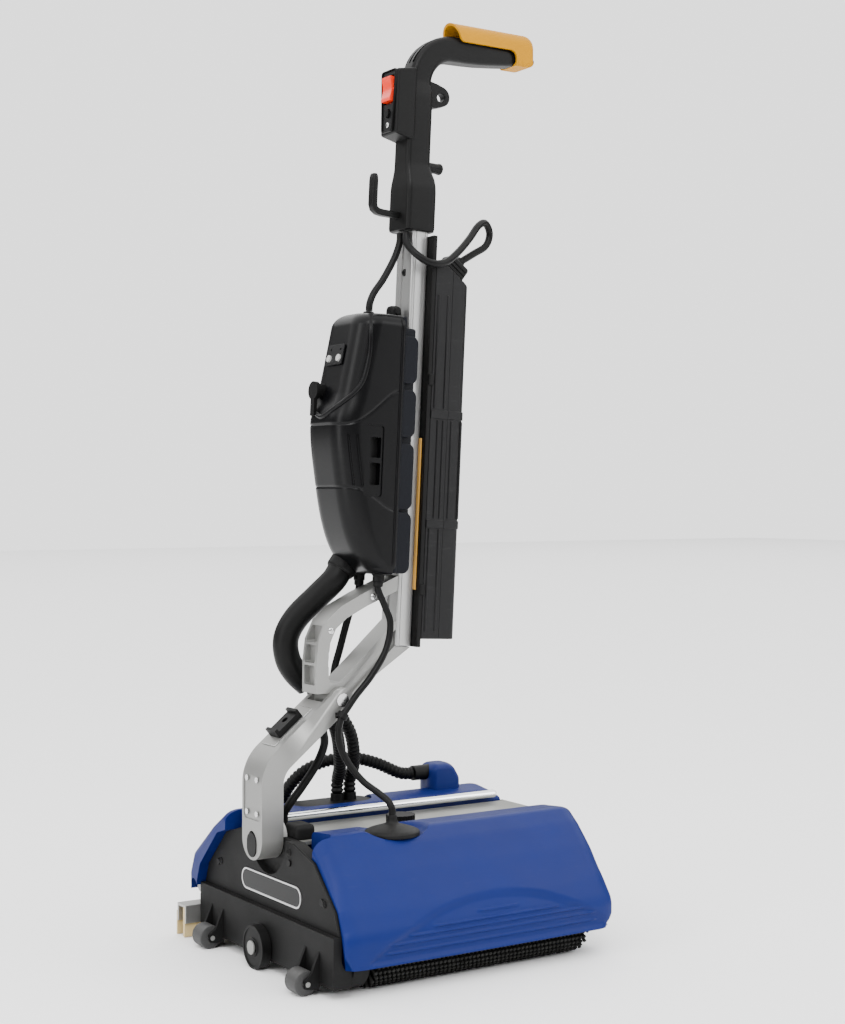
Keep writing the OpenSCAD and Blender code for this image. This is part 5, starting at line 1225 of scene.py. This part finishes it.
# the latch's seat plate is plain casting
paintFaces(bpy.data.objects["armScrews"], "castAlloy", lambda p, area: area > castings["seatArea"])
frameRing = shift(rawCopy("handleFrame", "handle_frame"), headPlace.inverted())
half = castings["pocketHalf"]
for low, high, deep in castings["pockets"]:
    cutAway(frameRing, addPlate("pocket", boxOutline((-half, low), (half, high), 2.5, 4), -150, deep, "x"))
cutAway(frameRing, addPlate("windowFoot", roundedOutline(castings["windowFoot"], 2, 6), -60, 60, "y"))
soften(frameRing, 1.5, 3, castAngle)
settle(frameRing, headPlace, "handle", "castAlloy", ["handle_frame"], "aluminium", angle=40)
screwPlaces = [at(x, castings["screwY"], z, 90, "X") for x, z in castings["screws"]]
frameScrews = addScrews("frameScrews", 4, 1.6, screwPlaces)
settle(frameScrews, headPlace, "handle", "brightSteel", ["handle_frame"], "aluminium")
print("arm and frame done")

# deck: the plates, the hinge's cowl, the rail and the round bung
deck = {"endPlates": 172.5, "cowl": ((-177, -40, 147), (-151, -7, 167)),
    "rail": ((-150, 42.5, 161), (160, 42.5, 161)),
    "bung": [(0, -12), (18.4, -12), (18.6, -11), (18.6, 0), (30, 0), (31.8, 1), (32.2, 3.6), (31.2, 5.6),
        (27, 7.6), (19, 10.2), (11, 12.6), (7.6, 14), (6, 16.4), (5.4, 20), (5.4, 22), (4.6, 23), (0, 23)]}
plates = dressSolid("chassisDeck", "chassis", "deckGrey", "chassis", 0.8)
paintFaces(plates, "coverBlack", lambda p, area: abs(p.x) > deck["endPlates"])
onHead(soften(addBlock("hingeCowl", *deck["cowl"]), 6, 5), "coverBlack", "left_cover", "cover")
onHead(soften(addRod("deckRail", *deck["rail"], 5, 32), 3.4, 4, 40), "chromed", "deck_rail", "chrome")
onHead(addTurned("roundBung", deck["bung"], 64), "bungRubber", "round_bung", "bung", at(*bungAt), angle=50)
print("deck done")

# grip: a half-round shell with a closed hook at its end, cut on a slant at the open end
grip = {"high": 180, "round": 12, "pull": 9, "wall": 3, "straight": [37, 80, 110, 140],
    "section": [(-19, 1086), (19, 1086), (19, 1129, 18.8), (-19, 1129, 18.8)],
    "room": [(-16, 1088.6), (16, 1088.6), (16, 1126, 15.8), (-16, 1126, 15.8)],
    "below": [(20, 1050), (150, 1050), (150, 1104, 9), (67, 1104, 6), (54, 1140), (20, 1140)]}
section = roundedOutline(grip["section"], 5, 10)
normals = outlineNormals(section)
rings = []
hookEnd = [grip["high"] - grip["round"] * (1 - math.sin(math.radians(a))) for a in range(0, 91, 9)]
for x in grip["straight"] + hookEnd:
    pull = roundOver((grip["high"] - x) / grip["round"], grip["pull"])
    rings.append([mm(x, y - n.x * pull, z - n.y * pull) for (y, z), n in zip(section, normals)])
shell = addSkin("gripShell", rings)
cutAway(shell, addPlate("gripRoom", roundedOutline(grip["room"], 3, 8), 20, grip["high"] - grip["wall"], "x"),
    addPlate("gripBelow", roundedOutline(grip["below"], 1, 8), -60, 60, "y"))
soften(shell, 0.9, 2, 40)
settle(shell, headPlace, "grip_lever", "gripYellow", ["grip_lever"], "grip", angle=45)
print("grip done")

# floor
restMode()
bpy.ops.mesh.primitive_plane_add(size=studio["floorSize"], location=(0, 0, 0))
floor = bpy.context.object
floor.name = "paleFloor"
floorFinish = bpy.data.materials.new("paleFloor")
floorFinish.use_nodes = True
floorSurface = floorFinish.node_tree.nodes["Principled BSDF"].inputs
floorSurface["Base Color"].default_value = (*studio["floor"], 1)
floorSurface["Roughness"].default_value = studio["floorRough"]
floor.data.materials.append(floorFinish)

print("pieces done")
